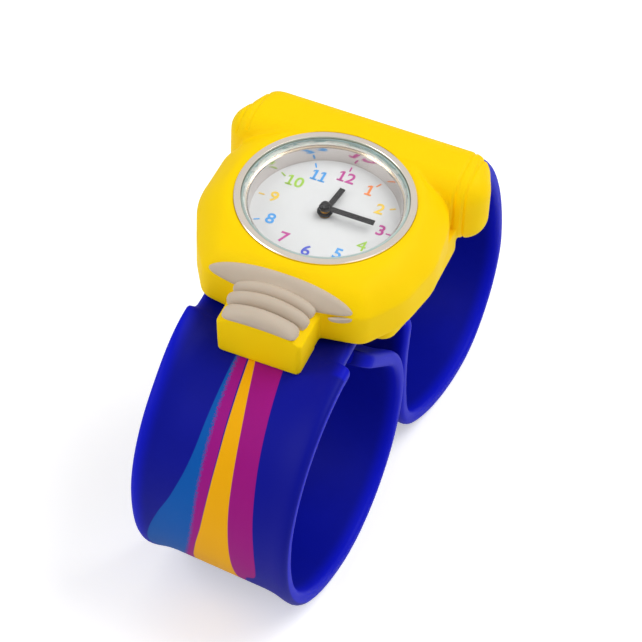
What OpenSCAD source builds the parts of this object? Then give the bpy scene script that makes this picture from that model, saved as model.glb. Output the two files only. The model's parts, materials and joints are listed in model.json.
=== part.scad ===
// Child's slap watch. A push-out quartz watch capsule sits in a silicone cover shaped
// like a squeezed paint tube, and a sprung silicone band, curled at both ends, runs under it.
// All sizes are millimetres. Depths are measured down from the top of the bezel.

/* [Cover] */
// Half the width of the cover body at its widest
body_half_w = 17.1; // [16.8:0.1:18]
// Distance from the dial centre to the front edge of the body
body_front = 17.1; // [16.9:0.1:17.3]
// Corner radius of the body beside the rolled end
shoulder_r = 5; // [4.5:0.1:5.5]
// How far behind the dial centre the shoulder corners are struck
shoulder_y = 4; // [3.5:0.1:4.5]
// Radius of the body's widest corners
flank_r = 11; // [10.6:0.1:11.4]
// How far in front of the dial centre the widest corners are struck
flank_y = 2.2; // [1.9:0.1:2.5]
// Radius of the body's front corners
corner_r = 3; // [2.8:0.1:3.2]
// Distance of the front corners' centres from the middle
corner_x = 9.4; // [9.2:0.1:9.6]
// How far in front of the dial centre the front corners are struck
corner_y = 13.1; // [12.9:0.1:13.3]
// Radius of the bow of the body's front edge
front_r = 8; // [7.6:0.1:8.4]
// Half the distance between the two centres of that bow
front_x = 3; // [2.8:0.1:3.2]
// Depth of the body's underside
body_depth = 9.3; // [9.2:0.1:9.8]
// Depth of the crease that runs round the body's upper rim
body_drop = 3.3; // [3:0.1:3.6]
// Rounding of the body's rims
body_round = 0.6; // [0.5:0.1:0.8]
// Depth at which the body's top turns down towards the crease
brow_depth = 1.8; // [1.6:0.1:2]
// Distance of that turn from the body's side
brow_inset = 1.7; // [1.5:0.1:1.9]
// Depth of the soft top where it meets the bezel
collar_depth = 0.3; // [0.2:0.05:0.5]
// Width of the soft top round the bezel
collar_w = 1.1; // [0.9:0.1:1.5]

/* [Rolled end] */
// Half the length of the rolled end
roll_half_l = 19.1; // [18.6:0.1:20]
// Distance from the dial centre to the roll's near side
roll_near = 8.9; // [8.6:0.1:9.4]
// Distance from the dial centre to the roll's far side
roll_far = 18.2; // [18:0.1:18.6]
// Height of the roll
roll_h = 11.3; // [11:0.1:11.6]
// Rounding of the roll
roll_round = 3.4; // [3:0.1:3.8]
// How much shorter each end of the roll is at its far side
roll_taper = 1.4; // [1.2:0.1:1.6]
// Width of the fold grooves
fold_w = 0.35; // [0.25:0.05:0.5]
// Depth of the fold grooves
fold_depth = 0.4; // [0.3:0.05:0.6]
// Distance of the inner folds from the middle
fold_x = 15.1; // [14.6:0.1:15.6]
// Distance between the two folds of one end
fold_gap = 1.6; // [1.3:0.1:2]

/* [Neck and trim] */
// Half the width of the neck
neck_half_w = 6.2; // [5.8:0.1:6.6]
// Distance from the dial centre to the neck's front
neck_front = 23.2; // [22.6:0.1:23.8]
// Depth of the neck's underside
neck_depth = 9.9; // [9.7:0.05:10]
// Radius of the neck's upright corners
neck_corner_r = 1.2; // [0.9:0.1:1.6]
// Radius of the neck's arched top
arch_r = 9.8; // [9.4:0.1:10.4]
// Depth of the arch's centre line
arch_depth = 12.3; // [12:0.1:12.6]
// Distance from one thread ridge to the next
ridge_pitch = 1.9; // [1.8:0.05:1.9]
// Distance from the dial centre to the back of the first ridge
ridge_y = 17.5; // [17.4:0.05:17.5]
// Height of the first ridge over the neck
ridge_h = 1.1; // [0.9:0.05:1.3]
// How much lower each next ridge is
ridge_step = 0.2; // [0.1:0.05:0.3]
// Half the width of the shoulder trim
trim_half_w = 10.5; // [10.2:0.1:10.8]
// Distance from the dial centre to the tips of the shoulder trim
trim_y = 15.5; // [15.4:0.1:15.7]
// Bulge of the trim towards the dial
trim_bulge_in = 0.9; // [0.7:0.1:1.1]
// Bulge of the trim towards the neck
trim_bulge_out = 2.7; // [2.6:0.1:2.8]
// Depth to which the trim hangs over the body's rim
trim_low = 3.5; // [3.3:0.1:3.8]
// How far the trim stands out of the cover
trim_proud = 0.45; // [0.3:0.05:0.6]
// How deep the trim is let into the cover
trim_inset = 0.5; // [0.4:0.05:0.7]

/* [Band] */
// Width of the band's free ends
band_w = 24; // [23.4:0.2:25]
// Width of the band where it passes under the cover
band_neck_w = 21.6; // [21:0.2:22]
// Thickness of the band at its rims
band_t = 2.2; // [2:0.05:2.3]
// Depth of the recess between the rims
recess_depth = 0.6; // [0.5:0.05:0.7]
// Width of the raised rims
rim_w = 1.5; // [1.2:0.1:2]
// Corner radius of the band's ends
end_r = 6; // [4:0.5:8]
// Depth of the band's middle layer under the cover
band_depth = 10.5; // [10.5:0.05:10.6]
// Distance from the dial centre to the step where the band widens
notch_y = 18.8; // [18.7:0.1:19.4]
// Length over which the band widens
notch_l = 0.8; // [0.6:0.1:1.2]
// Width of the spring strip
strip_w = 18; // [17:0.2:18.4]
// Thickness of the spring strip
strip_t = 0.2; // [0.15:0.05:0.25]
// Gap round the spring strip
strip_gap = 0.06; // [0.04:0.01:0.1]
// Distance of the spring strip's ends from the band's ends
strip_margin = 8; // [6.5:0.5:12]

/* [Band curl] */
// Angle at which the head leans when the watch rests on its two curls
rest_tilt = 10.3; // [9.8:0.1:10.8]
// Straight length of the band in front of the dial centre
front_straight = 20.5; // [20:0.1:21]
// Radius of the front curl below the neck
front_r1 = 16.4; // [16:0.1:17]
// Radius of the front curl at its outer side
front_r2 = 28; // [27:0.5:29]
// Radius of the front curl at its underside
front_r3 = 16; // [15.8:0.1:16.4]
// Radius of the front curl's inner turn
front_r4 = 15.2; // [14.8:0.1:15.4]
// Straight length of the band behind the dial centre
rear_straight = 18; // [18:0.1:18.6]
// Radius of the bend behind the rolled end
rear_r1 = 13.4; // [13:0.1:14]
// Radius of the rear curl's long top
rear_r2 = 50; // [49:0.5:51]
// Radius of the rear curl at its far side
rear_r3 = 13.5; // [13.2:0.1:14]
// Radius of the rear curl at its underside
rear_r4 = 31; // [30:0.5:32]
// Radius of the bend where the rear curl turns up
rear_r5 = 14; // [13.6:0.1:14.4]
// Radius of the upright run between the curls
rear_r6 = 45; // [44:0.5:46]
// Radius of the rear curl's last bend
rear_r7 = 25; // [24:0.5:26]

/* [Keeper loop] */
// Half the width of the loop under the cover
loop_half_w = 16.1; // [15.6:0.1:16.4]
// How much narrower the loop is at its front
loop_taper = 2.4; // [2:0.1:2.8]
// Distance from the dial centre to the loop's front edge
loop_front = 9.8; // [9.4:0.1:10.4]
// Height of the band's tunnel
tunnel_h = 2.5; // [2.5:0.05:2.7]
// Gap beside the band in the tunnel
tunnel_gap = 0.2; // [0.1:0.05:0.4]
// Thickness of the loop's floor
loop_t = 1.2; // [1:0.1:1.6]
// Corner radius of the loop
loop_corner_r = 2.2; // [1.8:0.1:2.6]

/* [Bezel and glass] */
// Outer radius of the bezel
bezel_r = 12.5; // [12.4:0.05:12.8]
// Width of the bezel's flat rim
bezel_rim_w = 0.94; // [0.9:0.02:1.1]
// Thickness of the bezel
bezel_t = 1.6; // [1.5:0.05:1.7]
// Bevel on the bezel's outer edge
bezel_bevel = 0.12; // [0.08:0.02:0.2]
// Width of the ledge under the glass
ledge_w = 0.7; // [0.66:0.02:0.74]
// Thickness of the glass
glass_t = 1; // [0.9:0.05:1.1]
// Drop of the glass below the bezel's rim
glass_drop = 0.1; // [0.05:0.01:0.15]
// Bevel on the glass
glass_bevel = 0.3; // [0.2:0.05:0.4]
// Thickness of the glass gasket
gasket_t = 0.15; // [0.1:0.01:0.2]
// Gap round the glass and the other pressed-in pieces
seat_gap = 0.05; // [0.03:0.01:0.08]

/* [Case] */
// Outer radius of the case
case_r = 11.4; // [11.3:0.05:11.45]
// Wall of the case
case_wall = 0.7; // [0.6:0.05:0.75]
// Depth of the case back's outer face
case_depth = 8.6; // [8.5:0.05:8.6]
// Thickness of the case back
back_t = 0.6; // [0.5:0.05:0.7]
// Height of the ring that snaps the back into the case
snap_h = 0.4; // [0.3:0.05:0.4]
// Width of the snap ring
snap_w = 0.8; // [0.6:0.05:0.9]
// Gap between the case and the cover's bore
bore_gap = 0.1; // [0.05:0.01:0.1]
// Radius of the hole through which the capsule is pushed out
push_hole_r = 8; // [7:0.2:9]
// How far the capsule is lifted to be clear of the cover
lift_travel = 12; // [9:0.5:14]

/* [Dial and hands] */
// Depth of the dial's face
dial_depth = 3.8; // [3.7:0.05:3.85]
// Thickness of the dial
dial_t = 0.4; // [0.3:0.05:0.4]
// Inner radius of the reflector ring at the glass
flange_top_r = 10.5; // [10.3:0.05:10.55]
// Inner radius of the reflector ring at the dial
flange_low_r = 10.3; // [10:0.05:10.4]
// Radius of the dial's centre hole
dial_hole_r = 0.85; // [0.82:0.01:0.95]
// Length of the hour hand from the centre
hour_len = 4.9; // [4.4:0.1:5.4]
// Length of the minute hand from the centre
minute_len = 7.2; // [6.6:0.1:8]
// Width of the hands
hand_w = 0.8; // [0.6:0.05:0.9]
// Thickness of the hands
hand_t = 0.2; // [0.15:0.01:0.22]
// Depth of the hour hand's top
hour_depth = 3.1; // [3:0.05:3.15]
// Depth of the minute hand's top
minute_depth = 2.35; // [2.3:0.05:2.5]
// Radius of the hour hand's boss
hour_boss_r = 1.09; // [1:0.01:1.2]
// Radius of the minute hand's boss
minute_boss_r = 0.86; // [0.8:0.01:0.95]
// Radius of the cap on the centre post
cap_r = 0.63; // [0.55:0.01:0.7]
// Height of the cap
cap_h = 0.7; // [0.5:0.05:0.8]

/* [Movement] */
// Radius of the main plate
plate_r = 9.6; // [9.5:0.05:9.65]
// Depth of the main plate's upper face
plate_depth = 5; // [4.98:0.01:5.02]
// Thickness of the main plate
plate_t = 0.8; // [0.78:0.01:0.82]
// Distance of the plate's flats from the centre
plate_flat = 8.9; // [8.8:0.05:9]
// Thickness of the wheels
wheel_t = 0.2; // [0.16:0.01:0.21]
// Distance from one wheel level to the next
wheel_level = 0.35; // [0.34:0.01:0.36]
// Depth of the train bridge's upper face
bridge_depth = 7; // [6.98:0.01:7.02]
// Thickness of the train bridge
bridge_t = 0.4; // [0.36:0.01:0.42]
// Running gap round the arbors
run_gap = 0.03; // [0.02:0.005:0.04]
// Radius of the thin arbors
arbor_r = 0.15; // [0.13:0.01:0.16]
// Radius of the centre arbor
centre_r = 0.3; // [0.28:0.01:0.31]
// Distance between the centre and the third wheel
third_reach = 2.88; // [2.86:0.01:2.9]
// Distance between the centre and the intermediate wheel
step_reach = 2.9; // [2.88:0.01:2.94]
// Distance between the intermediate wheel and the rotor
rotor_reach = 2.1; // [2.08:0.01:2.14]
// Distance between the centre and the minute wheel
motion_reach = 3; // [2.98:0.01:3.02]
// Radius of the rotor's magnet
magnet_r = 1.05; // [1:0.01:1.08]
// Gap between the magnet and the stator
air_gap = 0.15; // [0.12:0.01:0.2]
// Radius of the battery
cell_r = 3.4; // [3.35:0.01:3.42]
// Thickness of the battery
cell_t = 2.15; // [2.1:0.05:2.15]
// Length of the coil
coil_l = 6.6; // [6:0.1:6.8]
// Radius of the coil
coil_r = 0.85; // [0.8:0.01:0.88]
// Distance from the centre to the coil
coil_y = 7.2; // [7.15:0.01:7.4]
// Length of the quartz can
can_l = 4.9; // [4.6:0.1:5]
// Radius of the quartz can
can_r = 0.7; // [0.65:0.01:0.75]
// Radius of the stem
stem_r = 0.35; // [0.32:0.01:0.36]
// Depth of the stem's centre line
stem_depth = 5.42; // [5.4:0.01:5.44]
// Radius of the crown
crown_r = 1.7; // [1.5:0.05:1.75]
// Thickness of the crown
crown_t = 0.95; // [0.85:0.05:0.97]
// How far the crown pulls out
pull_travel = 0.8; // [0.6:0.05:0.9]

/* [Hidden] */

// overrun of cuts, and the facet counts of hulls, soft sweeps and round pieces
over = 1;
hull_fn = 32;
$fn = 96;

// teeth of each gear
centre_teeth = 64;
third_pinion_teeth = 8;
third_teeth = 60;
second_pinion_teeth = 8;
second_teeth = 50;
step_pinion_teeth = 10;
step_teeth = 48;
rotor_teeth = 8;
cannon_teeth = 12;
minute_teeth = 36;
minute_pinion_teeth = 10;
hour_teeth = 40;

// directions in which the axes lie, seen from the dial side
third_dir = 170;
step_dir = 40;
rotor_dir = 60;
motion_dir = -35;

// positions of the hands at rest, clockwise from twelve
minute_turn = 90;
hour_turn = minute_turn / 12;

// places of the bridge's posts, as shares of the plate's radius and directions
post_shares = [[0.455, 106], [0.675, 197], [0.656, 25]];

// radii and depths that follow from the sizes above
case_in_r = case_r - case_wall;
glass_r = bezel_r - bezel_rim_w - seat_gap;
ledge_r = bezel_r - bezel_rim_w - ledge_w;
ledge_depth = glass_drop + glass_t + gasket_t;
bore_r = case_r + bore_gap;
seat_r = bezel_r + bore_gap;
back_depth = case_depth - back_t;
snap_depth = back_depth - snap_h;
dial_back = dial_depth + dial_t;
hour_post_r = 0.75 * dial_hole_r;
cannon_r = centre_r + 0.5 * centre_r;
level_c = plate_depth + plate_t + 0.1 * plate_t;
level_d = level_c + wheel_level;
level_e = level_d + wheel_level;
hour_level = dial_back + 0.75 * wheel_t;
motion_level = hour_level + wheel_level;

function polar(r, a) = [r * cos(a), r * sin(a)];
third_at = polar(third_reach, third_dir);
step_at = polar(step_reach, step_dir);
rotor_at = step_at + polar(rotor_reach, rotor_dir);
motion_at = polar(motion_reach, motion_dir);
bridge_posts = [for (p = post_shares) polar(p[0] * plate_r, p[1])];
post_r = 3 * stem_r;
screw_r = 1.2 * stem_r;

// modules of the gear pairs, from the distances between their axes
centre_module = 2 * third_reach / (centre_teeth + third_pinion_teeth);
third_module = 2 * third_reach / (third_teeth + second_pinion_teeth);
second_module = 2 * step_reach / (second_teeth + step_pinion_teeth);
step_module = 2 * rotor_reach / (step_teeth + rotor_teeth);
cannon_module = 2 * motion_reach / (cannon_teeth + minute_teeth);
hour_module = 2 * motion_reach / (minute_pinion_teeth + hour_teeth);

// battery, coil and circuit, which fill the rest of the movement
cell_dir = 250;
cell_at = polar(plate_r - cell_r - run_gap, cell_dir);
cell_top = snap_depth - cell_t - strip_t;
stator_t = bridge_t;
stator_depth = level_e - 2 * run_gap;
coil_pad_r = coil_r + seat_gap;
coil_pad_x = coil_l / 2 + coil_pad_r + 6 * seat_gap;
can_shares = [-0.76, 0.235];
can_at = can_shares * plate_r;
board_depth = bridge_depth + bridge_t;
board_t = bridge_t * 0.6;

// the tunnel lies round the band, a little higher above it than below
tunnel_top = band_depth - (band_t + tunnel_gap) / 2;
tunnel_low = tunnel_top + tunnel_h;

// A flat shape turned into a slab whose upper face lies at a depth.
module slab(top, t) {
    translate([0, 0, -top - t]) linear_extrude(height = t) children();
}

module disc(r, top, t) {
    slab(top, t) circle(r = r);
}

module ring(r, bore, top, t) {
    slab(top, t) difference() {
        circle(r = r);
        circle(r = bore);
    }
}

// A closed skin over a row of outlines that all have the same number of points.
module skin(rows) {
    n = len(rows[0]);
    last = len(rows) - 1;
    sides = [for (i = [0:last - 1], j = [0:n - 1], k = [0, 1])
        let (a = i * n + j, b = i * n + (j + 1) % n, c = a + n, d = b + n)
        k == 0 ? [a, b, d] : [a, d, c]];
    start_cap = [for (j = [1:n - 2]) [0, j + 1, j]];
    end_cap = [for (j = [1:n - 2]) [last * n, last * n + j, last * n + j + 1]];
    polyhedron(points = [for (row = rows) each row], faces = concat(sides, start_cap, end_cap));
}

// BAND ROUTE

// Each stretch is its length and the angle through which it turns. The turns are shares of a
// right angle, and the rear ones bend the band the other way.
function arc_stretch(r, share) = [r * abs(share) * PI / 2, 90 * share];
front_turn_shares = [1, 0.8, 1.155, 1.2];
rear_turn_shares = [0.4, 0.517, 1.083, 0.422, 0.422, 0.2, 0.167];
front_run = [[front_straight, 0],
    arc_stretch(front_r1, front_turn_shares[0]),
    arc_stretch(front_r2, front_turn_shares[1]),
    arc_stretch(front_r3, front_turn_shares[2]),
    arc_stretch(front_r4, front_turn_shares[3])];
rear_run = [[rear_straight, 0],
    arc_stretch(rear_r1, -rear_turn_shares[0]),
    arc_stretch(rear_r2, -rear_turn_shares[1]),
    arc_stretch(rear_r3, -rear_turn_shares[2]),
    arc_stretch(rear_r4, -rear_turn_shares[3]),
    arc_stretch(rear_r5, -rear_turn_shares[4]),
    arc_stretch(rear_r6, -rear_turn_shares[5]),
    arc_stretch(rear_r7, -rear_turn_shares[6])];
function run_length(run, i = 0) = i == len(run) ? 0 : run[i][0] + run_length(run, i + 1);
front_length = run_length(front_run);
rear_length = run_length(rear_run);

// Point and heading after a distance u along one stretch.
function along(p, h, s, u) = s[1] == 0
    ? [p + u * [cos(h), sin(h)], h]
    : let (h2 = h + s[1] * u / s[0], r = s[0] / s[1] * 180 / PI)
        [p + r * [sin(h2) - sin(h), cos(h) - cos(h2)], h2];
function walk(run, u, p, h, i = 0) = (u <= run[i][0] || i == len(run) - 1)
    ? along(p, h, run[i], u)
    : let (q = along(p, h, run[i], run[i][0])) walk(run, u - run[i][0], q[0], q[1], i + 1);

// The band's middle layer in the upright plane [y, z], before it is set on the floor.
band_start = band_depth * [sin(rest_tilt), -cos(rest_tilt)];
function band_at(s) = s < 0
    ? let (q = walk(front_run, -s, band_start, 180 + rest_tilt)) [q[0], [sin(q[1]), -cos(q[1])]]
    : let (q = walk(rear_run, s, band_start, rest_tilt)) [q[0], [-sin(q[1]), cos(q[1])]];
function side_point(s, n) = let (q = band_at(s)) q[0] + n * q[1];

// Half the band's width at a place along it, with rounded free ends and a neck.
function end_inset(d) = d >= end_r ? 0 : end_r - sqrt(max(0, end_r * end_r - (end_r - d) * (end_r - d)));
function neck_share(s) = min(1, max(0, (abs(s) - notch_y) / notch_l));
function half_w_at(s) = (band_neck_w + (band_w - band_neck_w) * neck_share(s)) / 2
    - end_inset(min(s + front_length, rear_length - s));

// Places of the outlines along the band, closer at the ends and at the steps.
end_steps = [0.02, 0.1, 0.25, 0.45, 0.7];
body_count = 84;
step_places = [for (k = [0:4]) notch_y + notch_l * k / 4];
places_raw = concat(
    [for (e = end_steps) -front_length + e * end_r],
    [for (k = [0:body_count]) -front_length + end_r
        + (front_length + rear_length - 2 * end_r) * k / body_count],
    [for (e = end_steps) rear_length - e * end_r],
    [for (e = step_places) e],
    [for (e = step_places) -e]);
function sorted(v) = len(v) <= 1 ? v : let (pivot = v[floor(len(v) / 2)])
    concat(sorted([for (x = v) if (x < pivot) x]), [pivot], sorted([for (x = v) if (x > pivot) x]));
places = sorted(places_raw);

outer_side = [for (s = places) side_point(s, band_t / 2)];
floor_drop = min([for (p = outer_side) p[1]]);
middle_y = (min([for (p = outer_side) p[0]]) + max([for (p = outer_side) p[0]])) / 2;

// The head's own frame, leaning back on the two curls.
module at_head() {
    translate([0, -middle_y, -floor_drop]) rotate([rest_tilt, 0, 0]) children();
}

echo(head_origin = [0, -middle_y, -floor_drop], band_length = front_length + rear_length);

// Cross-section of the band: raised rims, a recessed face and a flat back.
function band_section(w) = let (h = band_t / 2, e = band_t / 5)
    [[-w, 0], [-w + e / 3, -h + e / 3], [-w + e, -h], [w - e, -h], [w - e / 3, -h + e / 3],
    [w, 0], [w - e / 4, h - e / 3], [w - e, h], [w - rim_w, h - e / 4], [w - rim_w - e, h - recess_depth],
    [-w + rim_w + e, h - recess_depth], [-w + rim_w, h - e / 4], [-w + e, h], [-w + e / 4, h - e / 3]];
function place_section(s, points) = let (q = band_at(s))
    [for (p = points) [p[0], q[0][0] + p[1] * q[1][0] - middle_y, q[0][1] + p[1] * q[1][1] - floor_drop]];

// Layer of the band in which the spring strip lies.
strip_level = -recess_depth / 2;
strip_places = [for (s = places) if (s > -front_length + strip_margin && s < rear_length - strip_margin) s];
function strip_section(gap) = let (w = strip_w / 2 + gap, h = strip_t / 2 + gap)
    [[-w, strip_level - h], [w, strip_level - h], [w, strip_level + h], [-w, strip_level + h]];

// COVER PIECES

// The body's soft form: corner circles in layers from the underside to the bezel's collar.
// A positive growth makes it larger all round, a negative one smaller.
module body_form(growth) {
    corners = [[body_half_w - shoulder_r, shoulder_y, shoulder_r],
        [body_half_w - flank_r, -flank_y, flank_r],
        [corner_x, -corner_y, corner_r],
        [front_x, front_r - body_front, front_r]];
    layers = [[body_round, body_depth], [0, body_depth - body_round],
        [0, body_drop + body_round], [body_round / 2, body_drop], [brow_inset, brow_depth]];
    $fn = hull_fn;
    hull() {
        for (side = [-1, 1], c = corners, layer = layers)
            translate([side * c[0], c[1], -layer[1] + (layer[1] > body_depth / 2 ? 0 : growth)])
                cylinder(r = c[2] - layer[0] + growth, h = body_round / 10);
        translate([0, 0, -collar_depth - body_round / 10 + growth])
            cylinder(r = bezel_r + collar_w, h = body_round / 10);
    }
}

module roll_form(inset) {
    $fn = hull_fn;
    hull() for (side = [-1, 1], far = [0, 1], z = [-roll_round, roll_round - roll_h])
        translate([side * (roll_half_l - roll_round - far * roll_taper),
            far == 1 ? roll_far - roll_round : roll_near + roll_round, z])
            sphere(r = roll_round - inset);
}

// Two thin planes at each end of the roll, closing towards the dial. Each lean is a share of a
// right angle.
module fold_planes() {
    roll_mid = (roll_near + roll_far) / 2;
    lean_shares = [0.01, 0.055];
    for (side = [-1, 1], k = [0, 1])
        translate([side * (fold_x + k * fold_gap), roll_mid, -roll_h / 2])
            rotate([0, 0, -side * 90 * lean_shares[k]])
                cube([fold_w, roll_far - roll_near + over, roll_h + over], center = true);
}

// The neck under its arch. A growth raises or lowers the arch alone.
module neck_block(growth) {
    $fn = hull_fn;
    y_back = body_front - neck_corner_r;
    intersection() {
        slab(0, neck_depth) hull() for (side = [-1, 1], y = [-y_back, neck_corner_r - neck_front])
            translate([side * (neck_half_w - neck_corner_r), y]) circle(r = neck_corner_r);
        translate([0, -neck_front - over, -arch_depth]) rotate([-90, 0, 0])
            cylinder(r = arch_r + growth, h = neck_front - body_front + neck_corner_r * 4);
    }
}

module keeper_loop() {
    $fn = hull_fn;
    loop_top = body_depth - 2 * body_round;
    slab(loop_top, tunnel_low + loop_t - loop_top)
        hull() for (side = [-1, 1], c = [[loop_taper, loop_corner_r - loop_front], [0, 0], [0, roll_near]])
            translate([side * (loop_half_w - loop_corner_r - c[0]), c[1]]) circle(r = loop_corner_r);
}

module trim_lens() {
    r_in = (trim_half_w * trim_half_w + trim_bulge_in * trim_bulge_in) / (2 * trim_bulge_in);
    r_out = (trim_half_w * trim_half_w + trim_bulge_out * trim_bulge_out) / (2 * trim_bulge_out);
    $fn = 360;
    intersection() {
        translate([0, -trim_y + trim_bulge_in - r_in]) circle(r = r_in);
        translate([0, -trim_y - trim_bulge_out + r_out]) circle(r = r_out);
    }
}

module trim_prism() {
    slab(-over, trim_low + over) trim_lens();
}

// The soft form under the trim, or over it.
module trim_bed(growth) {
    body_form(growth);
    neck_block(growth);
}

module crown_room() {
    half = crown_r + stem_r;
    translate([0, -half, -stem_depth - half]) cube([seat_r, 2 * half, stem_depth + half + over]);
    translate([0, -half, -stem_depth - half])
        cube([case_r + crown_t + pull_travel + 2 * stem_r, 2 * half, 2 * half]);
}

// Room for the band, open at both ends.
module tunnel_room() {
    half_w = band_neck_w / 2 + tunnel_gap;
    translate([-half_w, -body_front - over, -tunnel_low])
        cube([2 * half_w, body_front + roll_far + 2 * over, tunnel_h]);
}

module tube_cover() {
    color("gold") at_head() difference() {
        union() {
            difference() {
                union() {
                    body_form(0);
                    roll_form(0);
                    keeper_loop();
                }
                tunnel_room();
            }
            neck_block(0);
        }
        disc(bore_r, -over, case_depth + over);
        disc(seat_r, -over, bezel_t + over);
        disc(push_hole_r, 0, tunnel_top + over);
        crown_room();
        difference() {
            trim_prism();
            trim_bed(-trim_inset);
        }
        difference() {
            fold_planes();
            roll_form(fold_depth);
        }
    }
}

module shoulder_trim() {
    color("rosybrown") at_head() difference() {
        intersection() {
            trim_prism();
            trim_bed(trim_proud);
        }
        trim_bed(-trim_inset);
        ridge_room();
    }
}

// Everything in front of the trim that lies above the neck's arch.
module ridge_room() {
    difference() {
        translate([-neck_half_w, -neck_front - over, -arch_depth])
            cube([2 * neck_half_w, neck_front + over - ridge_y, arch_depth]);
        translate([0, 0, -arch_depth]) rotate([90, 0, 0]) cylinder(r = arch_r, h = neck_front + 2 * over);
    }
}

// One ridge lies across the neck's arch and thins out at both ends.
module ridge(index) {
    base_r = arch_r + seat_gap / 2;
    height = ridge_h - index * ridge_step;
    mid_y = ridge_y + ridge_pitch * (index + 0.5);
    sweep = asin((neck_half_w - ridge_h / 3) / base_r);
    count = 16;
    points = 10;
    end_share = 0.2;
    half_l = (ridge_pitch - seat_gap) / 2;
    skin([for (i = [0:count])
        let (a = -90 + 180 * i / count, size = max(sqrt(cos(a)), end_share), turn = sin(a) * sweep)
        [for (j = [0:points]) let (b = 180 * j / points, r = base_r + height * size * sin(b))
            [r * sin(turn), -mid_y - half_l * size * cos(b), r * cos(turn) - arch_depth]]]);
}

module thread_ridges() {
    color("rosybrown") at_head() for (index = [0:2]) ridge(index);
}

module strap_sleeve() {
    color("mediumblue") difference() {
        skin([for (s = places) place_section(s, band_section(half_w_at(s)))]);
        skin([for (s = strip_places) place_section(s, strip_section(strip_gap))]);
    }
}

module spring_strip() {
    inner = [for (k = [1:len(strip_places) - 2]) strip_places[k]];
    color("silver") skin([for (s = inner) place_section(s, strip_section(0))]);
}

// CAPSULE PIECES

module bezel() {
    color("silver") at_head() rotate_extrude() polygon([
        [bezel_r - bezel_rim_w, -bezel_bevel / 2], [bezel_r - bezel_rim_w + bezel_bevel / 2, 0],
        [bezel_r - bezel_bevel, 0], [bezel_r, -bezel_bevel], [bezel_r, -bezel_t],
        [ledge_r, -bezel_t], [ledge_r, -ledge_depth], [bezel_r - bezel_rim_w, -ledge_depth]]);
}

module glass() {
    glass_low = -glass_drop - glass_t;
    color("lightcyan") at_head() rotate_extrude() polygon([[0, -glass_drop],
        [glass_r - glass_bevel, -glass_drop], [glass_r, -glass_drop - glass_bevel],
        [glass_r, glass_low], [0, glass_low]]);
}

module glass_gasket() {
    color("white") at_head() ring(glass_r, ledge_r + seat_gap, glass_drop + glass_t, gasket_t);
}

module reflector_ring() {
    ring_r = case_in_r - seat_gap;
    color("lightgray") at_head() rotate_extrude() polygon([[flange_top_r, -bezel_t],
        [ring_r, -bezel_t], [ring_r, -dial_depth], [flange_low_r, -dial_depth]]);
}

module dial() {
    color("white") at_head() ring(case_in_r - seat_gap, dial_hole_r, dial_depth, dial_t);
}

// A round cut along the stem, from the middle of the movement outwards.
module stem_bore(r) {
    translate([0, 0, -stem_depth]) rotate([0, 90, 0]) cylinder(r = r, h = bezel_r);
}

tube_r = 2 * stem_r + run_gap;

module case_band() {
    color("silver") at_head() difference() {
        ring(case_r, case_in_r, bezel_t, back_depth - bezel_t);
        stem_bore(tube_r);
        disc(case_in_r + case_wall / 2, back_depth - gasket_t, gasket_t + over);
    }
}

module crown_tube() {
    color("goldenrod") at_head() intersection() {
        ring(case_r, case_in_r, bezel_t, back_depth - bezel_t);
        difference() {
            stem_bore(tube_r);
            stem_bore(stem_r + 2 * run_gap);
        }
    }
}

module case_back() {
    color("silver") at_head() {
        disc(case_r, back_depth, back_t);
        ring(case_in_r - seat_gap, case_in_r - seat_gap - snap_w, snap_depth, snap_h);
    }
}

// The seal lies in a step at the foot of the case wall.
module back_gasket() {
    color("black") at_head() ring(case_in_r + case_wall / 2, case_in_r, back_depth - gasket_t, gasket_t);
}

// MOVEMENT PIECES

module movement_ring() {
    ring_bore = plate_r + seat_gap;
    slot = tube_r + stem_r;
    color("ivory") at_head() difference() {
        union() {
            ring(case_in_r - seat_gap, ring_bore, dial_back, snap_depth - dial_back);
            intersection() {
                ring(ring_bore + seat_gap, plate_flat, dial_back, plate_depth - dial_back);
                disc(case_in_r - seat_gap, dial_back, plate_depth);
            }
        }
        translate([0, -slot, -snap_depth - over])
            cube([bezel_r, 2 * slot, snap_depth + over - stem_depth + slot]);
    }
}

module plate_outline() {
    intersection() {
        circle(r = plate_r);
        square([2 * plate_r, 2 * plate_flat], center = true);
    }
}

// Plan of the room that the plate and the stator leave for the coil.
module coil_room() {
    gap = 3 * seat_gap;
    translate([0, coil_y]) square([coil_l + 2 * gap, 2 * (coil_r + gap)], center = true);
}

module main_plate() {
    top = plate_depth;
    color("burlywood") at_head() difference() {
        union() {
            slab(top, plate_t) difference() {
                plate_outline();
                circle(r = centre_r + run_gap);
                for (p = [third_at, step_at, rotor_at]) translate(p) circle(r = arbor_r + run_gap);
                translate(cell_at) circle(r = cell_r + seat_gap);
                coil_room();
            }
            for (p = bridge_posts) translate(p)
                disc(post_r, top + plate_t / 2, bridge_depth - top - plate_t / 2);
            translate(motion_at) disc(arbor_r, hour_level, top - hour_level + plate_t / 2);
        }
        for (p = bridge_posts) translate(p) disc(screw_r, top + plate_t, bridge_depth);
        stem_channel();
    }
}

lever_x = 0.72 * plate_r;
groove_w = stem_r;

// Room in the plate for the stem, its groove and the lever's fork.
module stem_channel() {
    channel_half = 1.4 * stem_r;
    translate([motion_reach, -channel_half, -plate_depth - plate_t - over])
        cube([plate_r, 2 * channel_half, plate_t + 2 * over]);
    translate([lever_x - groove_w, -4 * stem_r, -plate_depth - plate_t - over])
        cube([pull_travel + 3 * groove_w, 8 * stem_r, plate_t + 2 * over]);
}

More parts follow.
